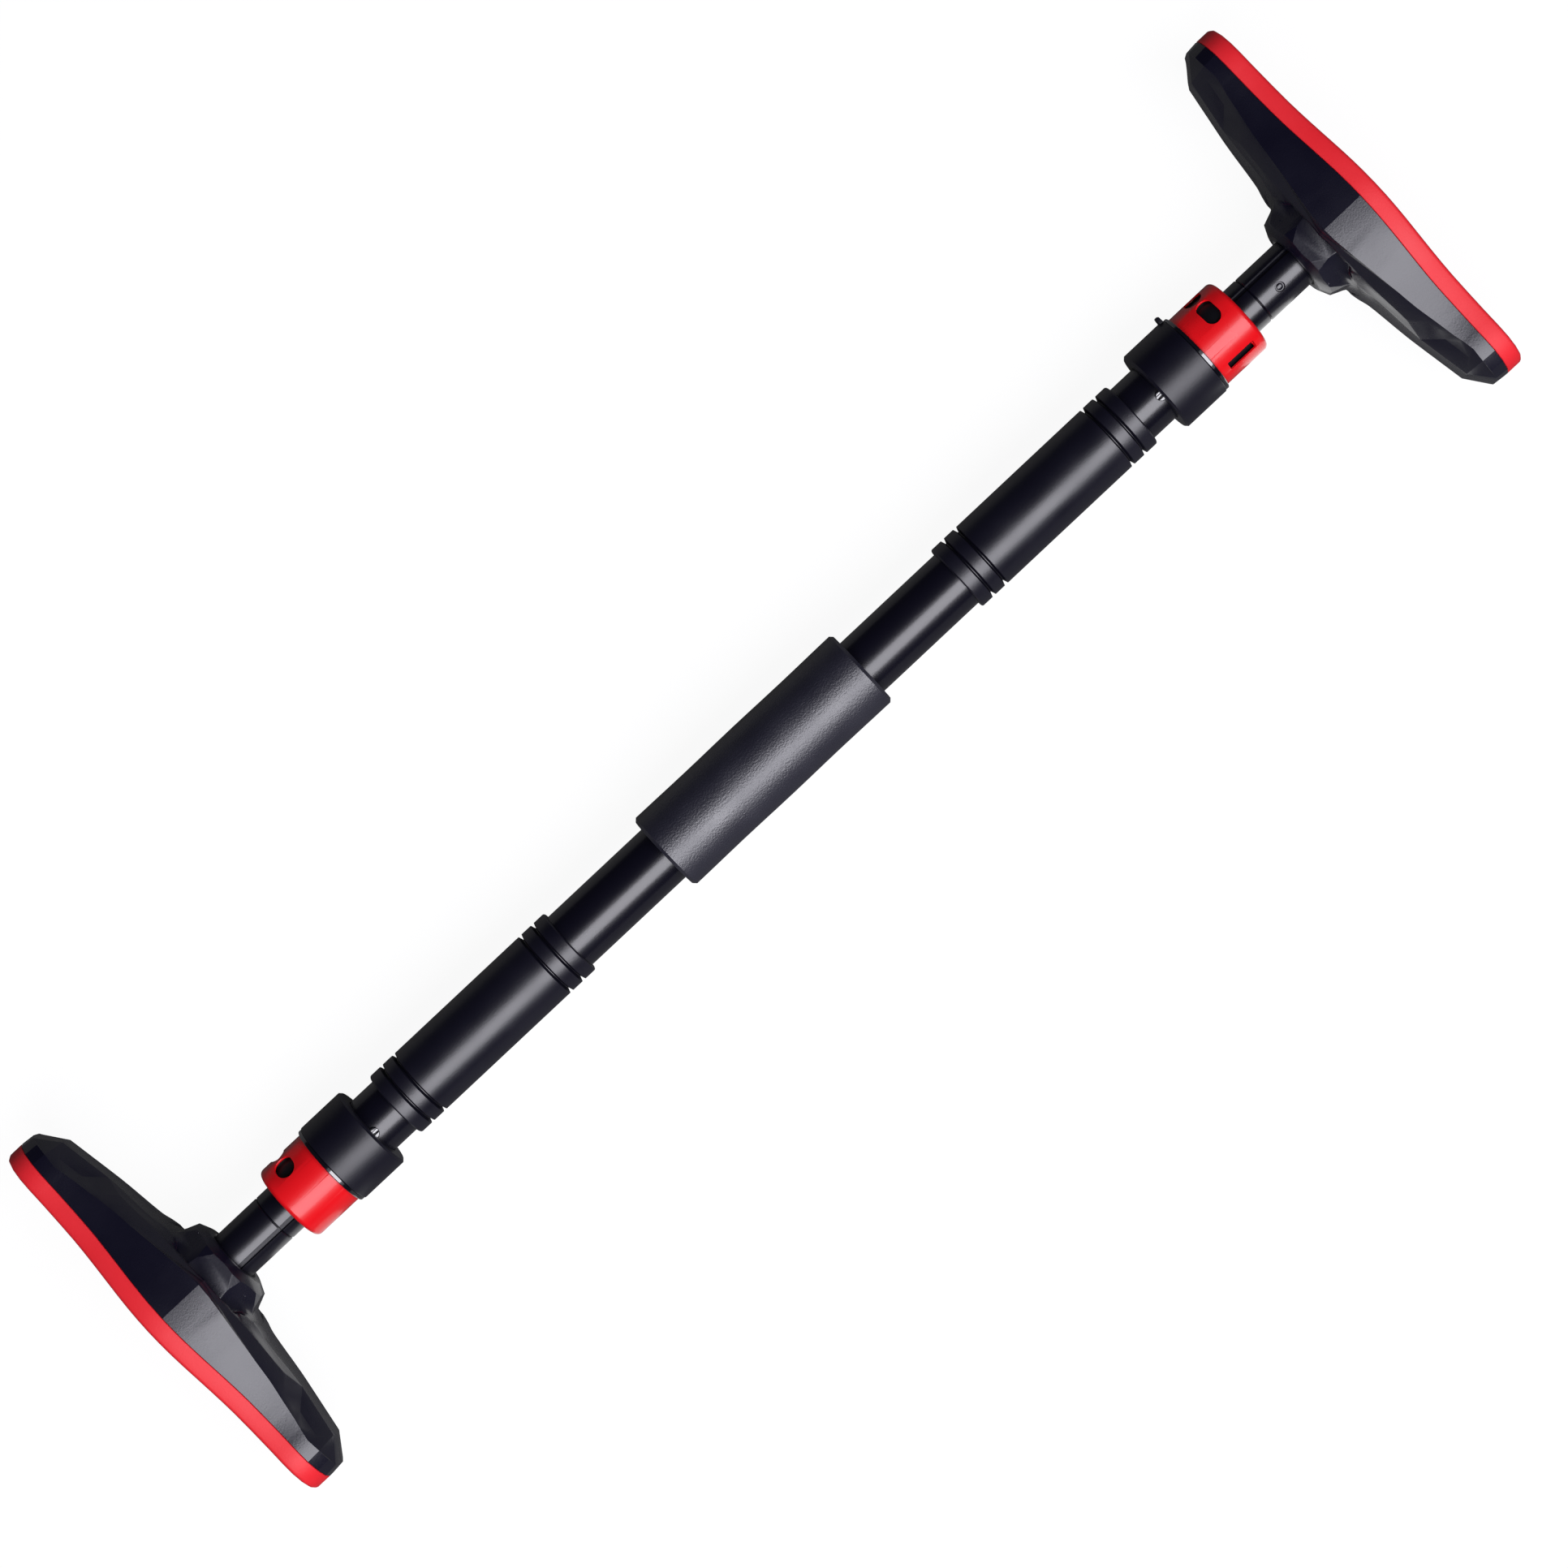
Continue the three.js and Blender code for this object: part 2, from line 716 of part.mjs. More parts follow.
// Triangles of a quarter of the foot's body, as heights above its flat back
function footQuarterFaces() {
  const { ridge, base, inner } = footQuarter();
  const corners = [];
  const last = ridge.length - 1;
  const diagonal = diagonalSteps;
  const chevron = diagonal + chevronSteps;
  const tip = chevron + armSteps;
  const back = new THREE.Vector3();
  const endLow = new THREE.Vector3(0, base[last].y, 0);
  const endHigh = new THREE.Vector3(ridge[last].x, ridge[last].y, 0);
  for (let i = 0; i < last; i += 1) {
    addFace(corners, [base[i], ridge[i + 1], base[i + 1], base[i], ridge[i], ridge[i + 1]]);
  }
  addFace(corners, [base[last], endHigh, endLow, base[last], ridge[last], endHigh]);
  addFacet(corners, [back, ...base, endLow], false);
  const between = (from, to) => ridge.slice(from, to + 1).reverse();
  const facets = [
    [inner.crestMiddle, inner.crestEnd, inner.tipCorner, inner.apex, inner.shoulder,
      inner.crestSide],
    [inner.ledgeMiddle, inner.ledgeBend, ...between(0, diagonal)],
    [inner.crestSide, inner.shoulder, inner.ledgeBend, inner.ledgeMiddle],
    [inner.shoulder, inner.apex, inner.fold, inner.ledgeBend],
    [inner.ledgeBend, inner.fold, ridge[diagonal]],
    [inner.apex, inner.notch, inner.fold],
    [inner.fold, inner.notch, ...between(diagonal, chevron)],
    [inner.apex, inner.tipFold, ...between(chevron, tip), inner.notch],
    [inner.apex, inner.tipCorner, inner.tipFold],
    [inner.tipCorner, inner.crestEnd, endHigh, ...between(tip, last), inner.tipFold],
  ];
  for (const facet of facets) addFacet(corners, facet, true);
  return corners;
}

// Foot body: a quarter mirrored four ways, then the moat, the boss and the socket
function footBody() {
  const quarter = footQuarterFaces();
  const corners = [];
  for (const [mirrorY, mirrorZ] of [[1, 1], [-1, -1], [1, -1], [-1, 1]]) {
    const turned = mirrorY * mirrorZ < 0;
    for (let i = 0; i < quarter.length; i += 9) {
      const order = turned ? [0, 6, 3] : [0, 3, 6];
      for (const k of order) {
        corners.push(footBase - quarter[i + k], mirrorY * quarter[i + k + 1],
          mirrorZ * quarter[i + k + 2]);
      }
    }
  }
  const shell = solidOf(geometryOf(corners));
  const moatBase = footBase - moatFloor;
  const moat = revolve([
    [bossEnd - overrun, 0],
    [moatBase, 0],
    [moatBase, moatFloorDiameter / 2],
    [footBase - moatRim, moatDiameter / 2],
    [bossEnd - overrun, moatDiameter / 2],
  ], outerSides);
  const cornerScale = 1 / Math.cos(Math.PI / bossSides);
  const boss = revolve([
    [bossEnd, 0],
    [moatBase + overrun, 0],
    [moatBase + overrun, (bossFootAcross / 2) * cornerScale],
    [bossEnd, (bossAcross / 2) * cornerScale],
  ], bossSides, Math.PI / bossSides);
  const rim = revolve([
    [bossEnd - overrun, 0],
    [footBase, 0],
    [footBase, moatDiameter / 2],
    [moatBase, moatDiameter / 2],
    [bossEnd + rimChamfer, bossAcross / 2 + rimFlare],
    [bossEnd, bossAcross / 2 - rimInset],
    [bossEnd - overrun, bossAcross / 2 - rimInset],
  ], outerSides);
  const floor = rodTip + washerThickness + 2 * seat;
  const socket = revolve([
    [bossEnd - overrun, 0],
    [floor, 0],
    [floor, socketDiameter / 2],
    [bossEnd + socketChamfer, socketDiameter / 2],
    [bossEnd - overrun, socketDiameter / 2 + socketChamfer + overrun],
  ], outerSides);
  return shell.subtract(moat).add(boss.intersect(rim)).subtract(socket);
}

// One end of the bar, from its grip to its foot
function barEnd(side, angles) {
  const group = new THREE.Group();
  const key = radians(angles.key);
  const rivet = radians(angles.rivet);
  const pieces = [
    ['grip', sideGrip(), colours.rubber, 0.8],
    ['hub', hub(), colours.black, 0.45],
    ['collar_key', collarKey(angles.key), colours.black, 0.2],
    ['lock_collar', lockCollar(key, radians(angles.tab)), colours.black, 0.4],
    ['tooth_ring', toothRing(), colours.black, 0.5],
    ['adjusting_ring', adjustingRing(angles), colours.red, 0.3],
    ['drive_plate', drivePlate(), colours.black, 0.5],
    ['rod', extensionRod(), colours.tube, 0.25, 0.4],
    ['rod_plug', rodPlug(), colours.black, 0.5],
    ['rod_end', rodEndPiece(rivet), colours.black, 0.25],
    ['end_rivet', endRivet(rivet), colours.zinc, 0.3, 1],
    ['thrust_washer', thrustWasher(), colours.zinc, 0.3, 1],
    ['foot', footBody(), colours.black, 0.35],
    ['foot_pad', footPad(), colours.pad, 0.6],
  ];
  for (const [name, solid, colour, roughness, metalness] of pieces) {
    group.add(meshOf(`${name}_${side}`, solid, colour, roughness, metalness));
  }
  return group;
}

const bar = new THREE.Group();
bar.position.z = footWidth / 2;
bar.add(meshOf('main_tube', mainTube(), colours.tube, 0.35, 0.4));
bar.add(meshOf('centre_sleeve', centreSleeve(), colours.foam, 0.9));
bar.add(barEnd('right', rightAngles));
const leftEnd = barEnd('left', leftAngles);
leftEnd.rotation.z = Math.PI;
bar.add(leftEnd);

export default bar;
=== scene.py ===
import math
from contextlib import contextmanager

import bmesh
import bpy
from mathutils import Matrix, Vector


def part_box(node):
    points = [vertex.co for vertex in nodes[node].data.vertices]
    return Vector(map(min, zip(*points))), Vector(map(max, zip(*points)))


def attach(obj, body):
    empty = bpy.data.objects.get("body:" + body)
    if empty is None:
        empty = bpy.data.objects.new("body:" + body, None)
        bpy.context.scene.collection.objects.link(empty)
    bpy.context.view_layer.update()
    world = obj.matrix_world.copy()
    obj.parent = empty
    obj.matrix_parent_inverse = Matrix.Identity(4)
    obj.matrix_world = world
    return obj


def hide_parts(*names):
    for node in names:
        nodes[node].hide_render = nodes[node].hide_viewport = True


# Looks of a doorway pull up bar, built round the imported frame.
# Lengths are in metres. Each end is built in an end frame: X is the distance from the
# middle of the bar, and the left end is then turned half a turn about Z.

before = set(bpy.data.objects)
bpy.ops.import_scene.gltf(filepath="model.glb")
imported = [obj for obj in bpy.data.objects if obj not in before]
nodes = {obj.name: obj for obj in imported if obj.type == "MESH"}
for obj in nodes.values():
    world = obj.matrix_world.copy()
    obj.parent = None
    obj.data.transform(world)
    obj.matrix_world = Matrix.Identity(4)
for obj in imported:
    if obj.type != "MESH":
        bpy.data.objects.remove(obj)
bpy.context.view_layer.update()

MM = 0.001
TURN = 2 * math.pi
SIDES = {"right": 1, "left": -1}

# Facets round a full circle: most pieces, the ring with its windows, and the rivets
FINE = 96
RING_FINE = 192
RIVET_FINE = 24

axis_height = (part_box("main_tube")[0].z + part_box("main_tube")[1].z) / 2
tube_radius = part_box("main_tube")[1].y


# Camera: from almost straight above the bar

# The image's side and the focal length are in pixels, the turn in degrees, and the
# sensor's width in millimetres
IMAGE = 1932
CAMERA_PLACE = (0.03, -0.0932, 2.441)
CAMERA_TURN = (0.853, 1.798, -43.12)
FOCAL_PIXELS = 6032.3
SENSOR = 36


def make_camera():
    data = bpy.data.cameras.new("camera")
    data.sensor_fit = "HORIZONTAL"
    data.sensor_width = SENSOR
    data.lens = SENSOR * FOCAL_PIXELS / IMAGE
    camera = add_object("camera", data)
    camera.location = CAMERA_PLACE
    camera.rotation_euler = [math.radians(angle) for angle in CAMERA_TURN]
    bpy.context.scene.camera = camera


# Surfaces

# Grain and patches are noise scales in waves per metre. Gloss shares are the smoothest and
# the roughest patch as shares of the roughness.
GRAIN_DETAIL = 2.0
PATCH_DETAIL = 4.0
NOISE_LOW, NOISE_HIGH = 0.3, 0.7

PAINT_COLOUR, PAINT_LIGHTER = (0.002, 0.0018, 0.006), (0.0035, 0.003, 0.010)
PAINT_IOR, PAINT_COAT = 1.75, 0.3
PAINT_GRAIN, PAINT_PATCHES = 700.0, 22.0
PAINT_STRETCH = (0.35, 1, 1)
PAINT_GLOSS_SHARES = (0.85, 1.15)

MOULD_PATCHES = 35.0
MOULD_GLOSS_SHARES = (0.9, 1.12)
MOULD_COAT_ROUGHNESS = 0.12


def new_material(name, colour, **sockets):
    """A material, and its shader with the given sockets set."""
    material = bpy.data.materials.new(name)
    material.use_nodes = True
    material.diffuse_color = (*colour, 1)
    shader = material.node_tree.nodes["Principled BSDF"]
    shader.inputs["Base Color"].default_value = (*colour, 1)
    for socket, value in sockets.items():
        shader.inputs[socket.replace("_", " ")].default_value = value
    return material, shader


def add_node(material, kind, **sockets):
    node = material.node_tree.nodes.new(kind)
    for socket, value in sockets.items():
        node.inputs[socket.replace("_", " ")].default_value = value
    return node


def link(material, source, target):
    material.node_tree.links.new(source, target)


def noise(material, scale, detail, stretch=(1, 1, 1)):
    """Value of a noise in the object's own metres, stretched along the axes."""
    place = add_node(material, "ShaderNodeTexCoord")
    mapping = add_node(material, "ShaderNodeMapping", Scale=stretch)
    texture = add_node(material, "ShaderNodeTexNoise", Scale=scale, Detail=detail)
    link(material, place.outputs["Object"], mapping.inputs["Vector"])
    link(material, mapping.outputs["Vector"], texture.inputs["Vector"])
    return texture.outputs["Fac"]


def vary_colour(material, shader, colour, lighter, source):
    mix = add_node(material, "ShaderNodeMix")
    mix.data_type = "RGBA"
    mix.inputs["A"].default_value = (*colour, 1)
    mix.inputs["B"].default_value = (*lighter, 1)
    link(material, source, mix.inputs["Factor"])
    link(material, mix.outputs["Result"], shader.inputs["Base Color"])


def vary_gloss(material, shader, roughness, shares, source):
    spread = add_node(
        material, "ShaderNodeMapRange", From_Min=NOISE_LOW, From_Max=NOISE_HIGH,
        To_Min=roughness * shares[0], To_Max=roughness * shares[1],
    )
    link(material, source, spread.inputs["Value"])
    link(material, spread.outputs["Result"], shader.inputs["Roughness"])


def bump(material, shader, height, source):
    node = add_node(material, "ShaderNodeBump", Strength=1.0, Distance=height)
    link(material, source, node.inputs["Height"])
    link(material, node.outputs["Normal"], shader.inputs["Normal"])


def moulded(name, colour, lighter, roughness, grain, height, ior=1.5, coat=0.0, metallic=0.0):
    """Moulded plastic or rubber: fine grain, slow changes of gloss and colour."""
    material, shader = new_material(
        name, colour, Roughness=roughness, Metallic=metallic, IOR=ior,
        Coat_Weight=coat, Coat_Roughness=MOULD_COAT_ROUGHNESS,
    )
    patches = noise(material, MOULD_PATCHES, PATCH_DETAIL)
    vary_colour(material, shader, colour, lighter, patches)
    vary_gloss(material, shader, roughness, MOULD_GLOSS_SHARES, patches)
    bump(material, shader, height, noise(material, grain, GRAIN_DETAIL))
    return material


def painted(name, roughness, height):
    """Black paint on steel tube, with a faint orange peel."""
    material, shader = new_material(
        name, PAINT_COLOUR, Roughness=roughness, IOR=PAINT_IOR,
        Coat_Weight=PAINT_COAT, Coat_Roughness=roughness / 2,
    )
    patches = noise(material, PAINT_PATCHES, PATCH_DETAIL, PAINT_STRETCH)
    vary_colour(material, shader, PAINT_COLOUR, PAINT_LIGHTER, patches)
    vary_gloss(material, shader, roughness, PAINT_GLOSS_SHARES, patches)
    bump(material, shader, height, noise(material, PAINT_GRAIN, GRAIN_DETAIL))
    return material


# Materials, each with its slot's name


def tube_paint():
    return painted("tube paint", roughness=0.25, height=0.02 * MM)


def rod_paint():
    return painted("rod paint", roughness=0.28, height=0.01 * MM)


def foam():
    return moulded(
        "foam skin",
        colour=(0.006, 0.0055, 0.016),
        lighter=(0.009, 0.0085, 0.024),
        roughness=0.43,
        grain=1000.0,
        height=0.2 * MM,
        ior=2.2,
    )


def grip_rubber():
    return moulded(
        "grip rubber",
        colour=(0.0025, 0.0022, 0.008),
        lighter=(0.0045, 0.004, 0.013),
        roughness=0.33,
        grain=1500.0,
        height=0.04 * MM,
        ior=1.8,
    )


def collar_black():
    return moulded(
        "collar plastic",
        colour=(0.0025, 0.002, 0.008),
        lighter=(0.004, 0.0035, 0.012),
        roughness=0.37,
        grain=1300.0,
        height=0.03 * MM,
        ior=1.65,
    )


def black_plastic():
    return moulded(
        "black plastic",
        colour=(0.003, 0.003, 0.005),
        lighter=(0.005, 0.005, 0.008),
        roughness=0.4,
        grain=1300.0,
        height=0.03 * MM,
    )


def gloss_black():
    return moulded(
        "gloss plastic",
        colour=(0.002, 0.002, 0.004),
        lighter=(0.005, 0.005, 0.007),
        roughness=0.2,
        grain=1100.0,
        height=0.01 * MM,
        ior=1.65,
        coat=0.5,
    )


def foot_plastic():
    return moulded(
        "foot plastic",
        colour=(0.0025, 0.002, 0.009),
        lighter=(0.0045, 0.004, 0.015),
        roughness=0.27,
        grain=1100.0,
        height=0.04 * MM,
        ior=1.8,
    )


def rim_gloss():
    return moulded(
        "rim gloss",
        colour=(0.002, 0.002, 0.005),
        lighter=(0.004, 0.004, 0.008),
        roughness=0.1,
        grain=900.0,
        height=0.01 * MM,
        ior=2.3,
        coat=1.0,
    )


def red_plastic():
    return moulded(
        "red plastic",
        colour=(0.82, 0.004, 0.009),
        lighter=(0.88, 0.006, 0.012),
        roughness=0.28,
        grain=1100.0,
        height=0.01 * MM,
        coat=0.4,
    )


def red_pad():
    return moulded(
        "pad rubber",
        colour=(0.84, 0.014, 0.024),
        lighter=(0.9, 0.02, 0.032),
        roughness=0.5,
        grain=1300.0,
        height=0.08 * MM,
    )


def zinc():
    return moulded(
        "zinc plate",
        colour=(0.5, 0.5, 0.52),
        lighter=(0.6, 0.6, 0.62),
        roughness=0.25,
        grain=900.0,
        height=0.01 * MM,
        metallic=1.0,
    )


LOOKS = (
    tube_paint, rod_paint, foam, grip_rubber, collar_black, black_plastic,
    gloss_black, foot_plastic, rim_gloss, red_plastic, red_pad, zinc,
)


# Meshes

WELD = 1e-7


@contextmanager
def editing(mesh):
    """Opens a mesh for editing, and writes the result back to it."""
    work = bmesh.new()
    work.from_mesh(mesh)
    yield work
    work.to_mesh(mesh)
    work.free()


def end_matrix(side):
    """From an end frame to the scene."""
    raise_up = Matrix.Translation((0, 0, axis_height))
    if SIDES[side] > 0:
        return raise_up
    return raise_up @ Matrix.Rotation(math.pi, 4, "Z")


def add_object(name, data):
    thing = bpy.data.objects.new(name, data)
    bpy.context.scene.collection.objects.link(thing)
    return thing


def placed(name, mesh, matrix):
    """A mesh of an end frame as an object in the scene."""
    mesh.transform(matrix)
    return add_object(name, mesh)


def shade(thing, degrees=32):
    """Smooth shading, sharp only at edges that turn by more than an angle."""
    thing.data.shade_smooth()
    thing.data.set_sharp_from_angle(angle=math.radians(degrees))


def lathed(name, outline, matrix, steps=FINE):
    """Solid turned about X from the closed outline of (x, radius) points."""
    points, faces = [], []
    count = len(outline)
    for step in range(steps):
        angle = TURN * step / steps
        for x, radius in outline:
            points.append((x, radius * math.sin(angle), radius * math.cos(angle)))
    for step in range(steps):
        here, there = step * count, ((step + 1) % steps) * count
        for i in range(count):
            j = (i + 1) % count
            faces.append((here + i, here + j, there + j, there + i))
    mesh = bpy.data.meshes.new(name)
    mesh.from_pydata(points, [], faces)
    with editing(mesh) as work:
        bmesh.ops.remove_doubles(work, verts=work.verts, dist=WELD)
        bmesh.ops.recalc_face_normals(work, faces=work.faces)
    return placed(name, mesh, matrix)


def joined(name, solids, matrix):
    """One object from several solids, each with its points and faces."""
    points, faces = [], []
    for some_points, some_faces in solids:
        start = len(points)
        points += some_points
        faces += [tuple(start + i for i in face) for face in some_faces]
    mesh = bpy.data.meshes.new(name)
    mesh.from_pydata(points, [], faces)
    with editing(mesh) as work:
        bmesh.ops.recalc_face_normals(work, faces=work.faces)
    return placed(name, mesh, matrix)


def arc(x, radius, size, first, last, steps=5):
    """Points of a rounded corner, with its angles in quarter turns from +X."""
    points = []
    for i in range(steps + 1):
        angle = (first + (last - first) * i / steps) * math.pi / 2
        points.append((x + size * math.cos(angle), radius + size * math.sin(angle)))
    return points


def loft(rings):
    """Points and faces of a solid through rings of points, closed at both ends."""
    count = len(rings[0])
    points = [point for ring in rings for point in ring]
    last = len(points) - count
    faces = []
    for start in range(0, last, count):
        for i in range(count):
            j = (i + 1) % count
            faces.append((start + i, start + j, start + count + j, start + count + i))
    faces.append(tuple(range(count - 1, -1, -1)))
    faces.append(tuple(range(last, last + count)))
    return points, faces


def bent_solid(rings, x, angle, radius):
    """Loft bent round the bar, through rings of corners.

    A corner is its place along the bar, its place round it at the radius, and its own radius.
    """
    bent_rings = []
    for ring in rings:
        bent_ring = []
        for along, around, out in ring:
            turn = angle + around / radius
            bent_ring.append((x + along, out * math.sin(turn), out * math.cos(turn)))
        bent_rings.append(bent_ring)
    return loft(bent_rings)


def bent_prism(stations, x, angle, radius, low, high):
    """Prism bent round the bar: stations are (place round it, half width along it)."""
    rings = []
    for around, half in stations:
        corners = ((-half, low), (half, low), (half, high), (-half, high))
        rings.append([(along, around, out) for along, out in corners])
    return bent_solid(rings, x, angle, radius)


def apply_modifiers(thing):
    bpy.context.view_layer.update()
    depsgraph = bpy.context.evaluated_depsgraph_get()
    result = bpy.data.meshes.new_from_object(thing.evaluated_get(depsgraph))
    thing.modifiers.clear()
    thing.data = result


def cut(thing, cutter):
    """Cuts one object out of another and removes it."""
    modifier = thing.modifiers.new("cut", "BOOLEAN")
    modifier.operation = "DIFFERENCE"
    modifier.solver = "EXACT"
    modifier.object = cutter
    apply_modifiers(thing)
    bpy.data.objects.remove(cutter)


def bevel(thing, width, degrees=35, segments=2):
    modifier = thing.modifiers.new("bevel", "BEVEL")
    modifier.width = width
    modifier.segments = segments
    modifier.limit_method = "ANGLE"
    modifier.angle_limit = math.radians(degrees)
    modifier.harden_normals = False
    apply_modifiers(thing)


def dress(thing, look):
    """Gives an object one material in place of what it has."""
    thing.data.materials.clear()
    thing.data.materials.append(materials[look])


def finish_piece(thing, body, slot, *stands_for, look=None):
    """Gives a piece its material, named by its slot unless a look is given, and its body, and
    hides the nodes that it stands for.
    """
    dress(thing, look or slot)
    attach(thing, body)
    if stands_for:
        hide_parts(*stands_for)


def middle_box(node):
    """Two ends and the radius of a node round the bar's middle."""
    low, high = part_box(node)
    return low.x, high.x, (high.y - low.y) / 2


def end_box(node):
    """A node's two distances from the middle of the bar, and its radius."""
    low, high, radius = middle_box(node)
    near, far = sorted((abs(low), abs(high)))
    return near, far, radius


# Tube, sleeve and grips

SKIN_GAP = 0.1 * MM


def make_tube():
    left, right, radius = middle_box("main_tube")
    wall = 1.5 * MM
    edge = 0.3 * MM
    outline = [
        (left, radius - wall),
        (right, radius - wall),
        (right, radius - edge),
        (right - edge, radius),
        (left + edge, radius),
        (left, radius - edge),
    ]
    tube = lathed("tube_skin", outline, end_matrix("right"))
    shade(tube)
    finish_piece(tube, "tube", "tube_paint", "main_tube")


# The sleeve's surface swells a little, in whole waves between its ends
SWELL = 0.1 * MM
SWELL_WAVES = 2
SWELL_STEPS = 12


def make_sleeve():
    left, right, radius = middle_box("centre_sleeve")
    bore = tube_radius + SKIN_GAP
    edge = 1.6 * MM
    inner = 0.8 * MM
    outline = [
        (right - edge, radius),
        (right, radius - edge),
        *arc(right - inner, bore + inner, inner, 0, -1, 3),
        *arc(left + inner, bore + inner, inner, -1, -2, 3),
        (left, radius - edge),
        (left + edge, radius),
    ]
    for i in range(1, SWELL_STEPS):
        x = left + edge + (right - left - 2 * edge) * i / SWELL_STEPS
        wave_angle = TURN * SWELL_WAVES * i / SWELL_STEPS
        outline.append((x, radius - SWELL + SWELL * math.cos(wave_angle)))
    sleeve = lathed("foam_sleeve", outline, end_matrix("right"))
    shade(sleeve, degrees=40)
    finish_piece(sleeve, "tube", "foam", "centre_sleeve")


# The grips' ring grooves: distance of each from the grip's end, width and depth
GROOVE_INSETS = (6.9 * MM, 15.1 * MM)
GROOVE_WIDTH = 2.0 * MM
GROOVE_DEPTH = 3.0 * MM
GROOVE_ROUND = 0.2 * MM


def groove(x, radius):
    """A pointed groove's outline from its near edge to its far one, with soft edges."""
    soft = GROOVE_ROUND
    far = x + GROOVE_WIDTH
    floor = radius - GROOVE_DEPTH
    return [
        *arc(x - soft, radius - soft, soft, 1, 0, 3),
        ((x + far) / 2, floor),
        *arc(far + soft, radius - soft, soft, 2, 1, 3),
    ]


def make_grip(side):
    near, far, radius = end_box(f"grip_{side}")
    bore = tube_radius + SKIN_GAP
    soft = 1.1 * MM
    outline = [(near, bore), *arc(near + soft, radius - soft, soft, 2, 1)]
    for inset in GROOVE_INSETS:
        outline += groove(near + inset, radius)
    for inset in reversed(GROOVE_INSETS):
        outline += groove(far - inset - GROOVE_WIDTH, radius)
    outline += arc(far - soft, radius - soft, soft, 1, 0)
    outline.append((far, bore))
    grip = lathed(f"grip_skin_{side}", outline, end_matrix(side))
    shade(grip, degrees=50)
    finish_piece(grip, "tube", "grip_rubber", f"grip_{side}")


# Hub


def make_hub(side):
    """Fitting on the tube's end, with the nut for the rod."""
    near, far, radius = end_box(f"hub_{side}")
    rod = end_box(f"rod_{side}")[2]
    chamfer = 0.8 * MM
    gap = 0.3 * MM
    nut = 12 * MM
    outline = [
        (near, tube_radius + gap),
        (far - nut, tube_radius + gap),
        (far - nut, rod + gap),
        (far, rod + gap),
        (far, radius - chamfer),
        (far - chamfer, radius),
        (near + chamfer, radius),
        (near, radius - chamfer),
    ]
    hub = lathed(f"hub_skin_{side}", outline, end_matrix(side))
    shade(hub)
    finish_piece(hub, "tube", "black_plastic", f"hub_{side}")


# Lock collar, with its rim, thumb tab and key

COLLAR_RADIUS = 23.3 * MM
COLLAR_BORE = 16.3 * MM
COLLAR_MOUTH = 21.8 * MM
RIM_LENGTH = 2.2 * MM
RIM_STEP = 1.2 * MM
RIM_GAP = 0.05 * MM
RIM_THICK = 0.7 * MM

# Thumb tab: its angles in degrees, and its top's size as a share of its foot's
TAB_ANGLES = {"right": 83, "left": 200}
TAB_HALF_LENGTH, TAB_HALF_WIDTH = 1.3 * MM, 3.8 * MM
TAB_FOOT, TAB_TOP = 22.4 * MM, 26.4 * MM
TAB_TOP_SHARE = 0.8
TAB_SOFT = 0.6 * MM
TAB_INSET = 1.2 * MM

# Key, its slot, and the room for it in the collar, which reaches in from the collar's edge
KEY_ANGLE = math.radians(12)
KEY_LENGTH, KEY_HALF = 9 * MM, 3 * MM
KEY_FOOT, KEY_TOP = 15.0 * MM, 17.7 * MM
KEY_SOFT = 0.35 * MM
KEY_SLOT_HALF, KEY_SLOT_DEPTH = 0.9 * MM, 1.3 * MM
KEY_ROOM_HALF, KEY_ROOM_REACH = 3.2 * MM, 14 * MM
KEY_ROOM_RADIUS = 18 * MM
KEY_ROOM_LOW, KEY_ROOM_HIGH = 14 * MM, 18.4 * MM


def make_collar(side):
    near, far, _ = end_box(f"lock_collar_{side}")
    thick = 12 * MM
    chamfer = 1.2 * MM
    soft = 0.4 * MM
    rim = far - RIM_LENGTH
    step = COLLAR_RADIUS - RIM_STEP
    outline = [
        (near, COLLAR_BORE),
        (near, COLLAR_RADIUS - chamfer),
        (near + chamfer, COLLAR_RADIUS),
        *arc(rim - soft, COLLAR_RADIUS - soft, soft, 1, 0, 3),
        (rim, step),
        (far - 2 * soft, step),
        (far - 2 * soft, COLLAR_MOUTH),
        (near + thick, COLLAR_MOUTH),
        (near + thick, COLLAR_BORE),
    ]
    collar = lathed(f"collar_shell_{side}", outline, end_matrix(side))
    cut(collar, key_room(side, near))
    shade(collar)
    finish_piece(collar, f"collar_{side}", "collar_black", f"lock_collar_{side}")
    make_rim(side, rim + RIM_GAP, far, step + RIM_GAP)
    make_tab(side, rim - TAB_INSET)


def key_room(side, x):
    """Cutter for the room that the collar leaves for its key."""
    stations = [(-KEY_ROOM_HALF, KEY_ROOM_REACH), (KEY_ROOM_HALF, KEY_ROOM_REACH)]
    angle = -KEY_ANGLE * SIDES[side]
    room = bent_prism(stations, x, angle, KEY_ROOM_RADIUS, KEY_ROOM_LOW, KEY_ROOM_HIGH)
    return joined("key room", [room], end_matrix(side))


def make_rim(side, near, far, bore):
    """Polished rim round the collar's mouth."""
    top = bore + RIM_THICK
    soft = 0.5 * MM
    outline = [
        (near, bore),
        *arc(near + soft, top - soft, soft, 2, 1, 4),
        *arc(far - soft, top - soft, soft, 1, 0, 4),
        (far, COLLAR_MOUTH),
        (far - soft, COLLAR_MOUTH),
        (far - soft, bore),
    ]
    rim = lathed(f"collar_rim_{side}", outline, end_matrix(side))
    shade(rim, degrees=50)
    finish_piece(rim, f"collar_{side}", "gloss_black", look="rim_gloss")


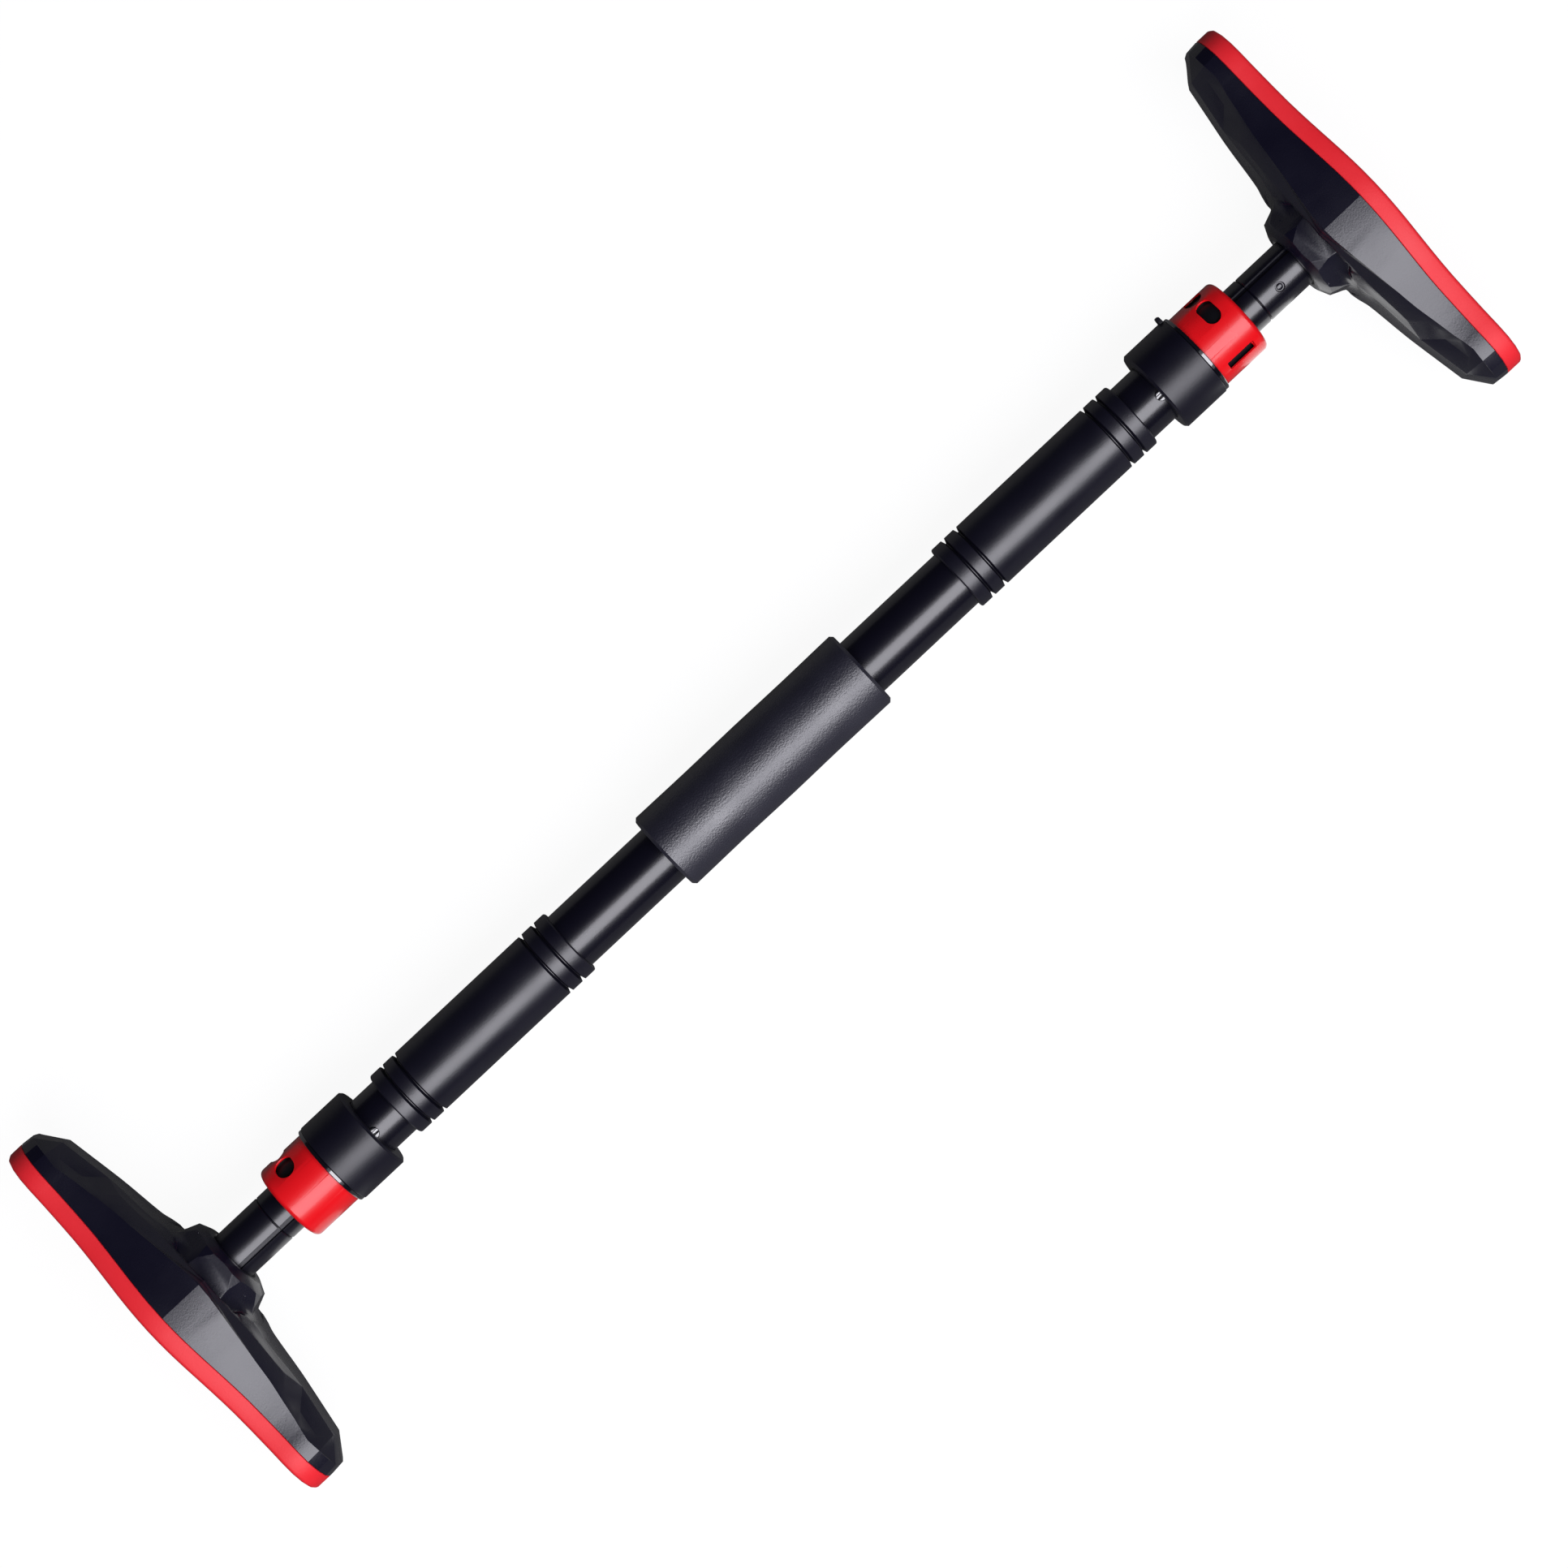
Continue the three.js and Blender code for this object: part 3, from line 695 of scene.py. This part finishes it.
def make_tab(side, x):
    """Thumb tab that stands on the collar's rim, narrower at its top."""
    rings = []
    for height, share in ((TAB_FOOT, 1), (TAB_TOP, TAB_TOP_SHARE)):
        half_length, half_width = TAB_HALF_LENGTH * share, TAB_HALF_WIDTH * share
        corners = ((-1, -1), (1, -1), (1, 1), (-1, 1))
        rings.append([(x + i * half_length, j * half_width, height) for i, j in corners])
    turn = Matrix.Rotation(-math.radians(TAB_ANGLES[side]), 4, "X")
    tab = joined(f"collar_tab_{side}", [loft(rings)], end_matrix(side) @ turn)
    bevel(tab, TAB_SOFT, segments=3)
    shade(tab, degrees=60)
    finish_piece(tab, f"collar_{side}", "collar_black")


def make_key(side):
    """Key on the tube: a rounded block with a slot along its shown end."""
    near = end_box(f"collar_key_{side}")[0]
    half = KEY_HALF
    outline = [
        *arc(near + KEY_LENGTH - half, 0, half, -1, 1, 6),
        *arc(near + half, 0, half, 1, 3, 6),
    ]
    rings = [[(x, y, height) for x, y in outline] for height in (KEY_FOOT, KEY_TOP)]
    matrix = end_matrix(side) @ Matrix.Rotation(KEY_ANGLE * SIDES[side], 4, "X")
    key = joined(f"key_{side}", [loft(rings)], matrix)
    stations = [(-KEY_SLOT_HALF, half), (KEY_SLOT_HALF, half)]
    low, high = KEY_TOP - KEY_SLOT_DEPTH, KEY_TOP + KEY_SLOT_DEPTH
    slot = bent_prism(stations, near + half / 2, 0, KEY_TOP, low, high)
    cut(key, joined("key slot", [slot], matrix))
    bevel(key, KEY_SOFT)
    shade(key, degrees=50)
    finish_piece(key, "tube", "gloss_black", f"collar_key_{side}", look="rim_gloss")


# Adjusting ring

RING_BORE = 19.3 * MM
RING_SOFT = 0.22 * MM

# Windows: their size round the bar and along it, the distance of their middle from the
# ring's outer face, and their angles in degrees
OVAL_SIZE, OVAL_INSET = (15.6 * MM, 8.8 * MM), 12.4 * MM
ROUND_SIZE, ROUND_INSET = (12.8 * MM, 10.4 * MM), 13.2 * MM
LINE_SIZE, LINE_INSET = (5.2 * MM, 16.6 * MM), 14.3 * MM
ARROW_LENGTH, ARROW_INSET = 25 * MM, 13 * MM
ARROW_SHAFT_HALF, ARROW_HEAD_HALF = 3 * MM, 5.8 * MM
ARROW_HEAD_LENGTH = 7.5 * MM
ARROW_SOFT = 0.5 * MM
ARROW_TIP_HALF = 0.3 * MM
ARROW_STEP = 0.01 * MM
SLOT_END_HALF = 0.02 * MM
WINDOW_ANGLES = {
    "right": {"oval": 30, "round": 72, "line": -50, "arrow": -130},
    "left": {"oval": -88, "round": -43, "line": 108, "arrow": 160},
}
WINDOW_OVERRUN_IN, WINDOW_OVERRUN_OUT = 1.2 * MM, 2 * MM

# Notches in the ring's inner edge, wider at their mouth
NOTCHES = 12
NOTCH_DEPTH = 4 * MM
NOTCH_HALF = 2.8 * MM
NOTCH_FLARE = 0.6 * MM
NOTCH_OVERRUN = 2 * MM


def oval_stations(length, width, steps=10):
    """Stations of a slot with round ends."""
    half = width / 2
    reach = length / 2 - half
    stations = []
    for sign in (-1, 1):
        for i in range(steps + 1):
            angle = (i / steps if sign > 0 else 1 - i / steps) * math.pi / 2
            across = max(half * math.cos(angle), SLOT_END_HALF)
            stations.append((sign * (reach + half * math.sin(angle)), across))
    return stations


def line_stations(width, length, steps=3):
    """Stations of a straight slot along the bar."""
    return [(width * (i / steps - 0.5), length / 2) for i in range(steps + 1)]


def arrow_stations(shaft_steps=12, head_steps=6):
    """Stations of an arrow from its tail to its tip."""
    half = ARROW_LENGTH / 2
    neck = half - ARROW_HEAD_LENGTH
    head = ARROW_HEAD_HALF
    shoulder = neck + ARROW_SOFT
    stations = []
    for i in range(shaft_steps):
        stations.append((-half + (neck + half) * i / shaft_steps, ARROW_SHAFT_HALF))
    stations.append((neck - ARROW_STEP, ARROW_SHAFT_HALF))
    stations.append((neck, head - ARROW_SOFT))
    stations.append((shoulder, head))
    for i in range(1, head_steps + 1):
        share = i / head_steps
        place = shoulder + (ARROW_HEAD_LENGTH - ARROW_SOFT) * share
        stations.append((place, head * (1 - share) + ARROW_TIP_HALF))
    return stations


def notch(x, angle, radius, low, high):
    """A notch, from outside the ring's inner edge to its root."""
    flares = (
        (-NOTCH_OVERRUN, NOTCH_FLARE * (1 + NOTCH_OVERRUN / NOTCH_DEPTH)),
        (0, NOTCH_FLARE),
        (NOTCH_DEPTH, 0),
    )
    rings = []
    for along, flare in flares:
        half = NOTCH_HALF + flare
        corners = ((-half, low), (half, low), (half, high), (-half, high))
        rings.append([(along, around, out) for around, out in corners])
    return bent_solid(rings, x, angle, radius)


def ring_openings(side, near, far, radius):
    """Cutter for the ring's windows and notches."""
    low, high = RING_BORE - WINDOW_OVERRUN_IN, radius + WINDOW_OVERRUN_OUT
    windows = {
        "oval": (oval_stations(*OVAL_SIZE), OVAL_INSET),
        "round": (oval_stations(*ROUND_SIZE), ROUND_INSET),
        "line": (line_stations(*LINE_SIZE), LINE_INSET),
        "arrow": (arrow_stations(), ARROW_INSET),
    }
    solids = []
    for name, (stations, inset) in windows.items():
        angle = math.radians(WINDOW_ANGLES[side][name])
        solids.append(bent_prism(stations, far - inset, angle, radius, low, high))
    for i in range(NOTCHES):
        solids.append(notch(near, TURN * i / NOTCHES, radius, low, high))
    return joined("openings", solids, end_matrix(side))


def make_ring(side):
    near, far, radius = end_box(f"adjusting_ring_{side}")
    wide_bore = 20.3 * MM
    plate_bore = 17.3 * MM
    rod_bore = 13.9 * MM
    recess_depth = 4.6 * MM
    recess = far - recess_depth
    web = 2 * MM
    band = 5 * MM
    shoulder = 2.8 * MM
    lip = 0.5 * MM
    outline = [
        (near, RING_BORE),
        *arc(near + lip, radius - lip, lip, 2, 1, 3),
        *arc(far - shoulder, radius - shoulder, shoulder, 1, 0, 6),
        *arc(far - lip, plate_bore + lip, lip, 0, -1, 3),
        (recess, plate_bore),
        (recess, rod_bore),
        (recess - web, rod_bore),
        (recess - web, wide_bore),
        (near + band, wide_bore),
        (near + band, RING_BORE),
    ]
    ring = lathed(f"ring_shell_{side}", outline, end_matrix(side), RING_FINE)
    cut(ring, ring_openings(side, near, far, radius))
    bevel(ring, RING_SOFT, degrees=40)
    shade(ring, degrees=40)
    finish_piece(ring, f"ring_{side}", "red_plastic", f"adjusting_ring_{side}")


# Rod, with its keyway, its end fitting and the rivet in a dimple

# Keyway: its angle in radians, and its half width at a radius
KEYWAY_ANGLE = 0.5
KEYWAY_HALF = 1.5 * MM
KEYWAY_FLOOR = 12.0 * MM
KEYWAY_RADIUS = 13.3 * MM
KEYWAY_TOP = 16 * MM
KEYWAY_OVERRUN = 1 * MM
KEYWAY_IN_FOOT = 6 * MM

# Rivet: its angles in degrees, its dome, and the dimple's two radii
RIVET_ANGLES = {"right": -20, "left": 140}
RIVET_RADIUS = 1.9 * MM
RIVET_RISE = 0.8 * MM
RIVET_SINK = 1.1 * MM
DIMPLE_FLOOR, DIMPLE_MOUTH = 2.2 * MM, 2.9 * MM
DIMPLE_DEPTH = 1.3 * MM
DIMPLE_OVERRUN = 0.3 * MM


def keyway(side, near, far):
    """Cutter for the groove along the rod."""
    middle, half = (near + far) / 2, (far - near) / 2
    stations = [(-KEYWAY_HALF, half), (KEYWAY_HALF, half)]
    slot = bent_prism(stations, middle, KEYWAY_ANGLE, KEYWAY_RADIUS, KEYWAY_FLOOR, KEYWAY_TOP)
    return joined("keyway", [slot], end_matrix(side))


def make_rod(side):
    near, far, radius = end_box(f"rod_{side}")
    wall = 2.6 * MM
    bore = radius - wall
    edge = 0.45 * MM
    outline = [
        (near, bore),
        (near, radius - edge),
        (near + edge, radius),
        (far - edge, radius),
        (far, radius - edge),
        (far, bore),
    ]
    rod = lathed(f"rod_skin_{side}", outline, end_matrix(side))
    cut(rod, keyway(side, near - KEYWAY_OVERRUN, far + KEYWAY_OVERRUN))
    shade(rod)
    finish_piece(rod, f"rod_{side}", "rod_paint", f"rod_{side}")


def make_rod_tip(side):
    near, far, radius = end_box(f"rod_end_{side}")
    joint_gap = 0.3 * MM
    shoulder = end_box(f"rod_{side}")[1] + joint_gap
    spigot_step = 2.9 * MM
    spigot = radius - spigot_step
    edge = 0.5 * MM
    soft = 3 * MM
    outline = [
        (near, 0.0),
        (near, spigot),
        (shoulder, spigot),
        (shoulder, radius - edge),
        (shoulder + edge, radius),
        *arc(far - soft, radius - soft, soft, 1, 0, 6),
        (far, 0.0),
    ]
    tip = lathed(f"rod_tip_{side}", outline, end_matrix(side))
    foot_start = end_box(f"foot_{side}")[0]
    cut(tip, keyway(side, shoulder - KEYWAY_OVERRUN, foot_start + KEYWAY_IN_FOOT))
    cut(tip, dimple(side, radius))
    shade(tip)
    finish_piece(tip, f"rod_{side}", "gloss_black", f"rod_end_{side}", look="rod_paint")


def rivet_matrix(side):
    """Turns a lathed solid's X axis to point out of the rod at the rivet."""
    near, far, _ = end_box(f"end_rivet_{side}")
    place = Matrix.Translation(((near + far) / 2, 0, 0))
    turn = Matrix.Rotation(-math.radians(RIVET_ANGLES[side]), 4, "X")
    return end_matrix(side) @ place @ turn @ Matrix.Rotation(-math.pi / 2, 4, "Y")


def dimple(side, radius):
    """Cutter for the shallow dimple round the rivet."""
    top = radius + DIMPLE_OVERRUN
    floor = top - DIMPLE_DEPTH
    outline = [(floor, 0.0), (floor, DIMPLE_FLOOR), (top, DIMPLE_MOUTH), (top, 0.0)]
    return lathed("dimple", outline, rivet_matrix(side), RIVET_FINE)


def make_rivet(side, steps=5):
    """Domed head of the rivet that holds the rod's end."""
    foot = end_box(f"rod_end_{side}")[2] - RIVET_SINK
    outline = [(foot, 0.0), (foot, RIVET_RADIUS)]
    for i in range(1, steps + 1):
        angle = i / steps * math.pi / 2
        outline.append((foot + RIVET_RISE * math.sin(angle), RIVET_RADIUS * math.cos(angle)))
    rivet = lathed(f"rivet_head_{side}", outline, rivet_matrix(side), RIVET_FINE)
    shade(rivet, degrees=50)
    finish_piece(rivet, f"rod_{side}", "gloss_black", f"end_rivet_{side}", look="rod_paint")


# Feet and pads

# In their nodes' meshes, corners that meet are merged and flat facets made whole again
FOOT_WELD = 1e-6
FLAT = math.radians(0.8)

# Wave of the feet along their length
WAVE_DEPTH = 1.9 * MM
WAVE_START, WAVE_END = 5 * MM, 60 * MM
WAVE_FADE = 40 * MM
WAVE_KEPT_SHARE = 0.35
SLICES = [distance * MM for distance in (12, 20, 28, 35, 42, 50, 58, 66, 74, 84)]

# Slopes beside the boss: a fillet that fills the moat's ends, and a hollow outside it.
# Reaches are distances from the bar's axis, and heights are above the foot's flat face.
SLOPE_LEVEL = 18 * MM
SLOPE_WIDTH, SLOPE_FADE = 17 * MM, 25 * MM
FILLET_START, FILLET_END = 26 * MM, 34.3 * MM
FILLET_TOP, FILLET_FOOT = 30 * MM, 26.9 * MM
FILLET_TURN, FILLET_FADE = math.radians(34), math.radians(56)
FILLET_POWER = 1.5
HOLLOW_DEPTH = 1.0 * MM
HOLLOW_START, HOLLOW_MIDDLE, HOLLOW_END = 36 * MM, 44 * MM, 72 * MM

# Longest edges on the slopes, and the fillets' smoothing
REFINE_START = 24 * MM
REFINE_ROUNDS = 6
SLOPE_EDGE, FILLET_EDGE = 2.2 * MM, 1.2 * MM
SMOOTH_START, SMOOTH_END = 26.5 * MM, 38 * MM
SMOOTH_ROUNDS = 24
SMOOTH_FACTOR = 0.5

FOOT_SOFT = 0.5 * MM
CREASE_REACH = 0.01 * MM


def copy_of(node, name):
    """A node's mesh as a new object, with its flat facets made whole again."""
    mesh = nodes[node].data.copy()
    mesh.name = name
    with editing(mesh) as work:
        bmesh.ops.remove_doubles(work, verts=work.verts, dist=FOOT_WELD)
        bmesh.ops.dissolve_limit(work, angle_limit=FLAT, verts=work.verts, edges=work.edges)
        bmesh.ops.recalc_face_normals(work, faces=work.faces)
    return add_object(name, mesh)


def eased(value, start, end):
    """Rises smoothly from 0 to 1 between two values."""
    share = min(max((value - start) / (end - start), 0), 1)
    return share * share * (3 - 2 * share)


def off_axis(point):
    """Distances of a point from the bar's axis: along the foot, across it, and straight."""
    y, z = abs(point.y), abs(point.z - axis_height)
    return y, z, math.hypot(y, z)


def slice_up(thing):
    """Cuts a foot's faces across at several distances from its middle."""
    with editing(thing.data) as work:
        for distance in SLICES:
            for sign in (-1, 1):
                bmesh.ops.bisect_plane(
                    work, geom=work.verts[:] + work.edges[:] + work.faces[:], dist=FOOT_WELD,
                    plane_co=(0, sign * distance, 0), plane_no=(0, 1, 0),
                )


def wave(thing, side, base):
    """Draws a foot's ends in towards the bar."""
    for vertex in thing.data.vertices:
        height = base - abs(vertex.co.x)
        kept = 1 - (1 - WAVE_KEPT_SHARE) * min(max(height / WAVE_FADE, 0), 1)
        drawn = WAVE_DEPTH * kept * eased(abs(vertex.co.y), WAVE_START, WAVE_END)
        vertex.co.x -= SIDES[side] * drawn


def too_coarse(edge, base):
    """Whether an edge is on a slope beside the boss and too long for its shape."""
    middle = (edge.verts[0].co + edge.verts[1].co) / 2
    _, across, reach = off_axis(middle)
    near = REFINE_START < reach < HOLLOW_END
    high = base - abs(middle.x) > SLOPE_LEVEL
    limit = FILLET_EDGE if reach < SMOOTH_END else SLOPE_EDGE
    return near and high and across < SLOPE_FADE and edge.calc_length() > limit


def refine_slopes(thing, base):
    """Cuts the slopes beside the boss into small triangles."""
    with editing(thing.data) as work:
        bmesh.ops.triangulate(work, faces=work.faces[:])
        for _ in range(REFINE_ROUNDS):
            coarse = [edge for edge in work.edges if too_coarse(edge, base)]
            if not coarse:
                break
            bmesh.ops.subdivide_edges(work, edges=coarse, cuts=1)
            cut_faces = [face for face in work.faces if len(face.verts) > 3]
            bmesh.ops.triangulate(work, faces=cut_faces)


def fillet_rise(along, across, reach, height):
    """How far the fillet lifts a point of the moat's ends."""
    share = (FILLET_END - reach) / (FILLET_END - FILLET_START)
    target = FILLET_FOOT + (FILLET_TOP - FILLET_FOOT) * share ** FILLET_POWER
    beside = 1 - eased(math.atan2(across, along), FILLET_TURN, FILLET_FADE)
    return beside * max(target - height, 0)


def hollow_depth(across, reach):
    """How far the hollow sinks a point of the slopes."""
    inside = 1 - eased(across, SLOPE_WIDTH, SLOPE_FADE)
    into = eased(reach, HOLLOW_START, HOLLOW_MIDDLE)
    out = 1 - eased(reach, HOLLOW_MIDDLE, HOLLOW_END)
    return inside * HOLLOW_DEPTH * into * out


def shape_slopes(thing, side, base):
    """Fills the moat's ends with a fillet, and hollows the slopes outside them."""
    for vertex in thing.data.vertices:
        along, across, reach = off_axis(vertex.co)
        height = base - abs(vertex.co.x)
        if height < SLOPE_LEVEL or reach < FILLET_START:
            continue
        if reach < FILLET_END:
            vertex.co.x -= SIDES[side] * fillet_rise(along, across, reach, height)
        else:
            vertex.co.x += SIDES[side] * hollow_depth(across, reach)


def smooth_fillets(thing, base):
    """Runs the boss, the fillet and the slope into one hollow curve."""
    with editing(thing.data) as work:
        chosen = []
        for vertex in work.verts:
            along, across, reach = off_axis(vertex.co)
            near = SMOOTH_START < reach < SMOOTH_END
            high = base - abs(vertex.co.x) > SLOPE_LEVEL
            if near and high and math.atan2(across, along) < FILLET_FADE:
                chosen.append(vertex)
        for _ in range(SMOOTH_ROUNDS):
            bmesh.ops.smooth_vert(
                work, verts=chosen, factor=SMOOTH_FACTOR,
                use_axis_x=True, use_axis_y=True, use_axis_z=True,
            )


def crease_middle(thing):
    """Keeps the crease across the middle of a foot sharp."""
    mesh = thing.data
    for edge in mesh.edges:
        if all(abs(mesh.vertices[i].co.y) < CREASE_REACH for i in edge.vertices):
            edge.use_edge_sharp = True


def make_foot(side):
    foot = copy_of(f"foot_{side}", f"foot_shell_{side}")
    base = end_box(f"foot_{side}")[1]
    slice_up(foot)
    wave(foot, side, base)
    bevel(foot, FOOT_SOFT, degrees=12)
    refine_slopes(foot, base)
    shape_slopes(foot, side, base)
    smooth_fillets(foot, base)
    shade(foot, degrees=22)
    crease_middle(foot)
    finish_piece(foot, f"foot_{side}", "foot_plastic", f"foot_{side}")


def make_pad(side):
    pad = copy_of(f"foot_pad_{side}", f"pad_skin_{side}")
    slice_up(pad)
    wave(pad, side, end_box(f"foot_{side}")[1])
    bevel(pad, FOOT_SOFT, degrees=40)
    shade(pad, degrees=45)
    finish_piece(pad, f"foot_{side}", "red_pad", f"foot_pad_{side}")


# Pieces that keep their nodes' meshes, with their looks

KEPT = {
    "tooth_ring": "black_plastic",
    "drive_plate": "black_plastic",
    "rod_plug": "black_plastic",
    "thrust_washer": "zinc",
}


# Floor and light

# Glows and levels are strengths, and powers are in watts
FLOOR_REACH = 30.0
FLOOR_COLOUR = (0.1, 0.1, 0.1)
FLOOR_GLOW = 0.93
GLOSSY_GLOW = 0.03
WORLD_COLOUR = (0.94, 0.96, 1.0)
WORLD_LEVEL = 0.12
WORLD_GLOSS = 0.012
WORLD_SEEN = 1.0
LAMP_COLOUR = (0.94, 0.93, 1.0)
LAMP_REACH = 2.4
LAMP_TILT = math.radians(31)
KEY_SIZE, KEY_POWER = (4.2, 1.6), 86
WIDE_SIZE, WIDE_POWER = (4.6, 2.6), 14
CARD_COLOUR = (1, 1, 1)
CARD_SIZE = (0.045, 0.15)
CARD_POWERS = {"right": 0.017, "left": 0.01}
CARD_REACH = 0.33
CARD_FRONT = -0.07
CARD_HEIGHT = 2 * MM


def math_node(tree, operation, *values):
    """Output of a new math node that is fed by sockets or numbers."""
    node = tree.nodes.new("ShaderNodeMath")
    node.operation = operation
    for socket, value in zip(node.inputs, values):
        if isinstance(value, float):
            socket.default_value = value
        else:
            tree.links.new(value, socket)
    return node.outputs[0]


def seen_glow(tree):
    """The floor's glow: full for camera rays, fainter for glossy and transmission rays."""
    path = tree.nodes.new("ShaderNodeLightPath").outputs
    either = math_node(tree, "MAXIMUM", path["Is Glossy Ray"], path["Is Transmission Ray"])
    full = math_node(tree, "MULTIPLY", path["Is Camera Ray"], FLOOR_GLOW)
    return math_node(tree, "MULTIPLY_ADD", either, GLOSSY_GLOW, full)


def floor_material():
    """Dull grey that keeps shadows, and glows for the rays that see the background."""
    material = bpy.data.materials.new("floor")
    material.use_nodes = True
    tree = material.node_tree
    tree.nodes.clear()
    output = tree.nodes.new("ShaderNodeOutputMaterial")
    diffuse = tree.nodes.new("ShaderNodeBsdfDiffuse")
    diffuse.inputs["Color"].default_value = (*FLOOR_COLOUR, 1)
    glow = tree.nodes.new("ShaderNodeEmission")
    both = tree.nodes.new("ShaderNodeAddShader")
    tree.links.new(seen_glow(tree), glow.inputs["Strength"])
    tree.links.new(diffuse.outputs[0], both.inputs[0])
    tree.links.new(glow.outputs[0], both.inputs[1])
    tree.links.new(both.outputs[0], output.inputs["Surface"])
    return material


def make_floor():
    near, far = -FLOOR_REACH, FLOOR_REACH
    corners = [(near, near, 0), (far, near, 0), (far, far, 0), (near, far, 0)]
    mesh = bpy.data.meshes.new("floor")
    mesh.from_pydata(corners, [], [(0, 1, 2, 3)])
    mesh.materials.append(floor_material())
    add_object("floor", mesh)


def make_world():
    """Faint sky, fainter still in reflections and white where the camera sees it."""
    world = bpy.context.scene.world or bpy.data.worlds.new("world")
    bpy.context.scene.world = world
    world.use_nodes = True
    tree = world.node_tree
    background = tree.nodes["Background"]
    background.inputs["Color"].default_value = (*WORLD_COLOUR, 1)
    path = tree.nodes.new("ShaderNodeLightPath").outputs
    unseen = tree.nodes.new("ShaderNodeMix")
    unseen.inputs["A"].default_value = WORLD_LEVEL
    unseen.inputs["B"].default_value = WORLD_GLOSS
    tree.links.new(path["Is Glossy Ray"], unseen.inputs["Factor"])
    strength = tree.nodes.new("ShaderNodeMix")
    strength.inputs["B"].default_value = WORLD_SEEN
    tree.links.new(unseen.outputs["Result"], strength.inputs["A"])
    tree.links.new(path["Is Camera Ray"], strength.inputs["Factor"])
    tree.links.new(strength.outputs["Result"], background.inputs["Strength"])


def add_lamp(name, shape, size, power, colour, place, direction):
    """Area lamp at a place, with the direction of its light."""
    data = bpy.data.lights.new(name, "AREA")
    data.shape = shape
    data.size, data.size_y = size
    data.energy = power
    data.color = colour
    lamp = add_object(name, data)
    lamp.location = place
    lamp.rotation_euler = direction.to_track_quat("-Z", "Y").to_euler()
    lamp.visible_camera = False


def make_lamps():
    """Two soft lamps over the bar, and a faint card on the floor beside each foot."""
    place = Vector((0, -math.sin(LAMP_TILT), math.cos(LAMP_TILT))) * LAMP_REACH
    add_lamp("key", "RECTANGLE", KEY_SIZE, KEY_POWER, LAMP_COLOUR, place, -place)
    add_lamp("wide", "RECTANGLE", WIDE_SIZE, WIDE_POWER, LAMP_COLOUR, place, -place)
    upwards = Vector((0, 0, 1))
    for side, power in CARD_POWERS.items():
        place = Vector((SIDES[side] * CARD_REACH, CARD_FRONT, CARD_HEIGHT))
        add_lamp("card", "ELLIPSE", CARD_SIZE, power, CARD_COLOUR, place, upwards)


make_camera()
bpy.context.scene.view_settings.view_transform = "Standard"
materials = {look.__name__: look() for look in LOOKS}
make_floor()
make_world()
make_lamps()
make_tube()
make_sleeve()
for side in SIDES:
    make_grip(side)
    make_hub(side)
    make_collar(side)
    make_key(side)
    make_ring(side)
    make_rod(side)
    make_rod_tip(side)
    make_rivet(side)
    make_foot(side)
    make_pad(side)
    for node, look in KEPT.items():
        dress(nodes[f"{node}_{side}"], look)
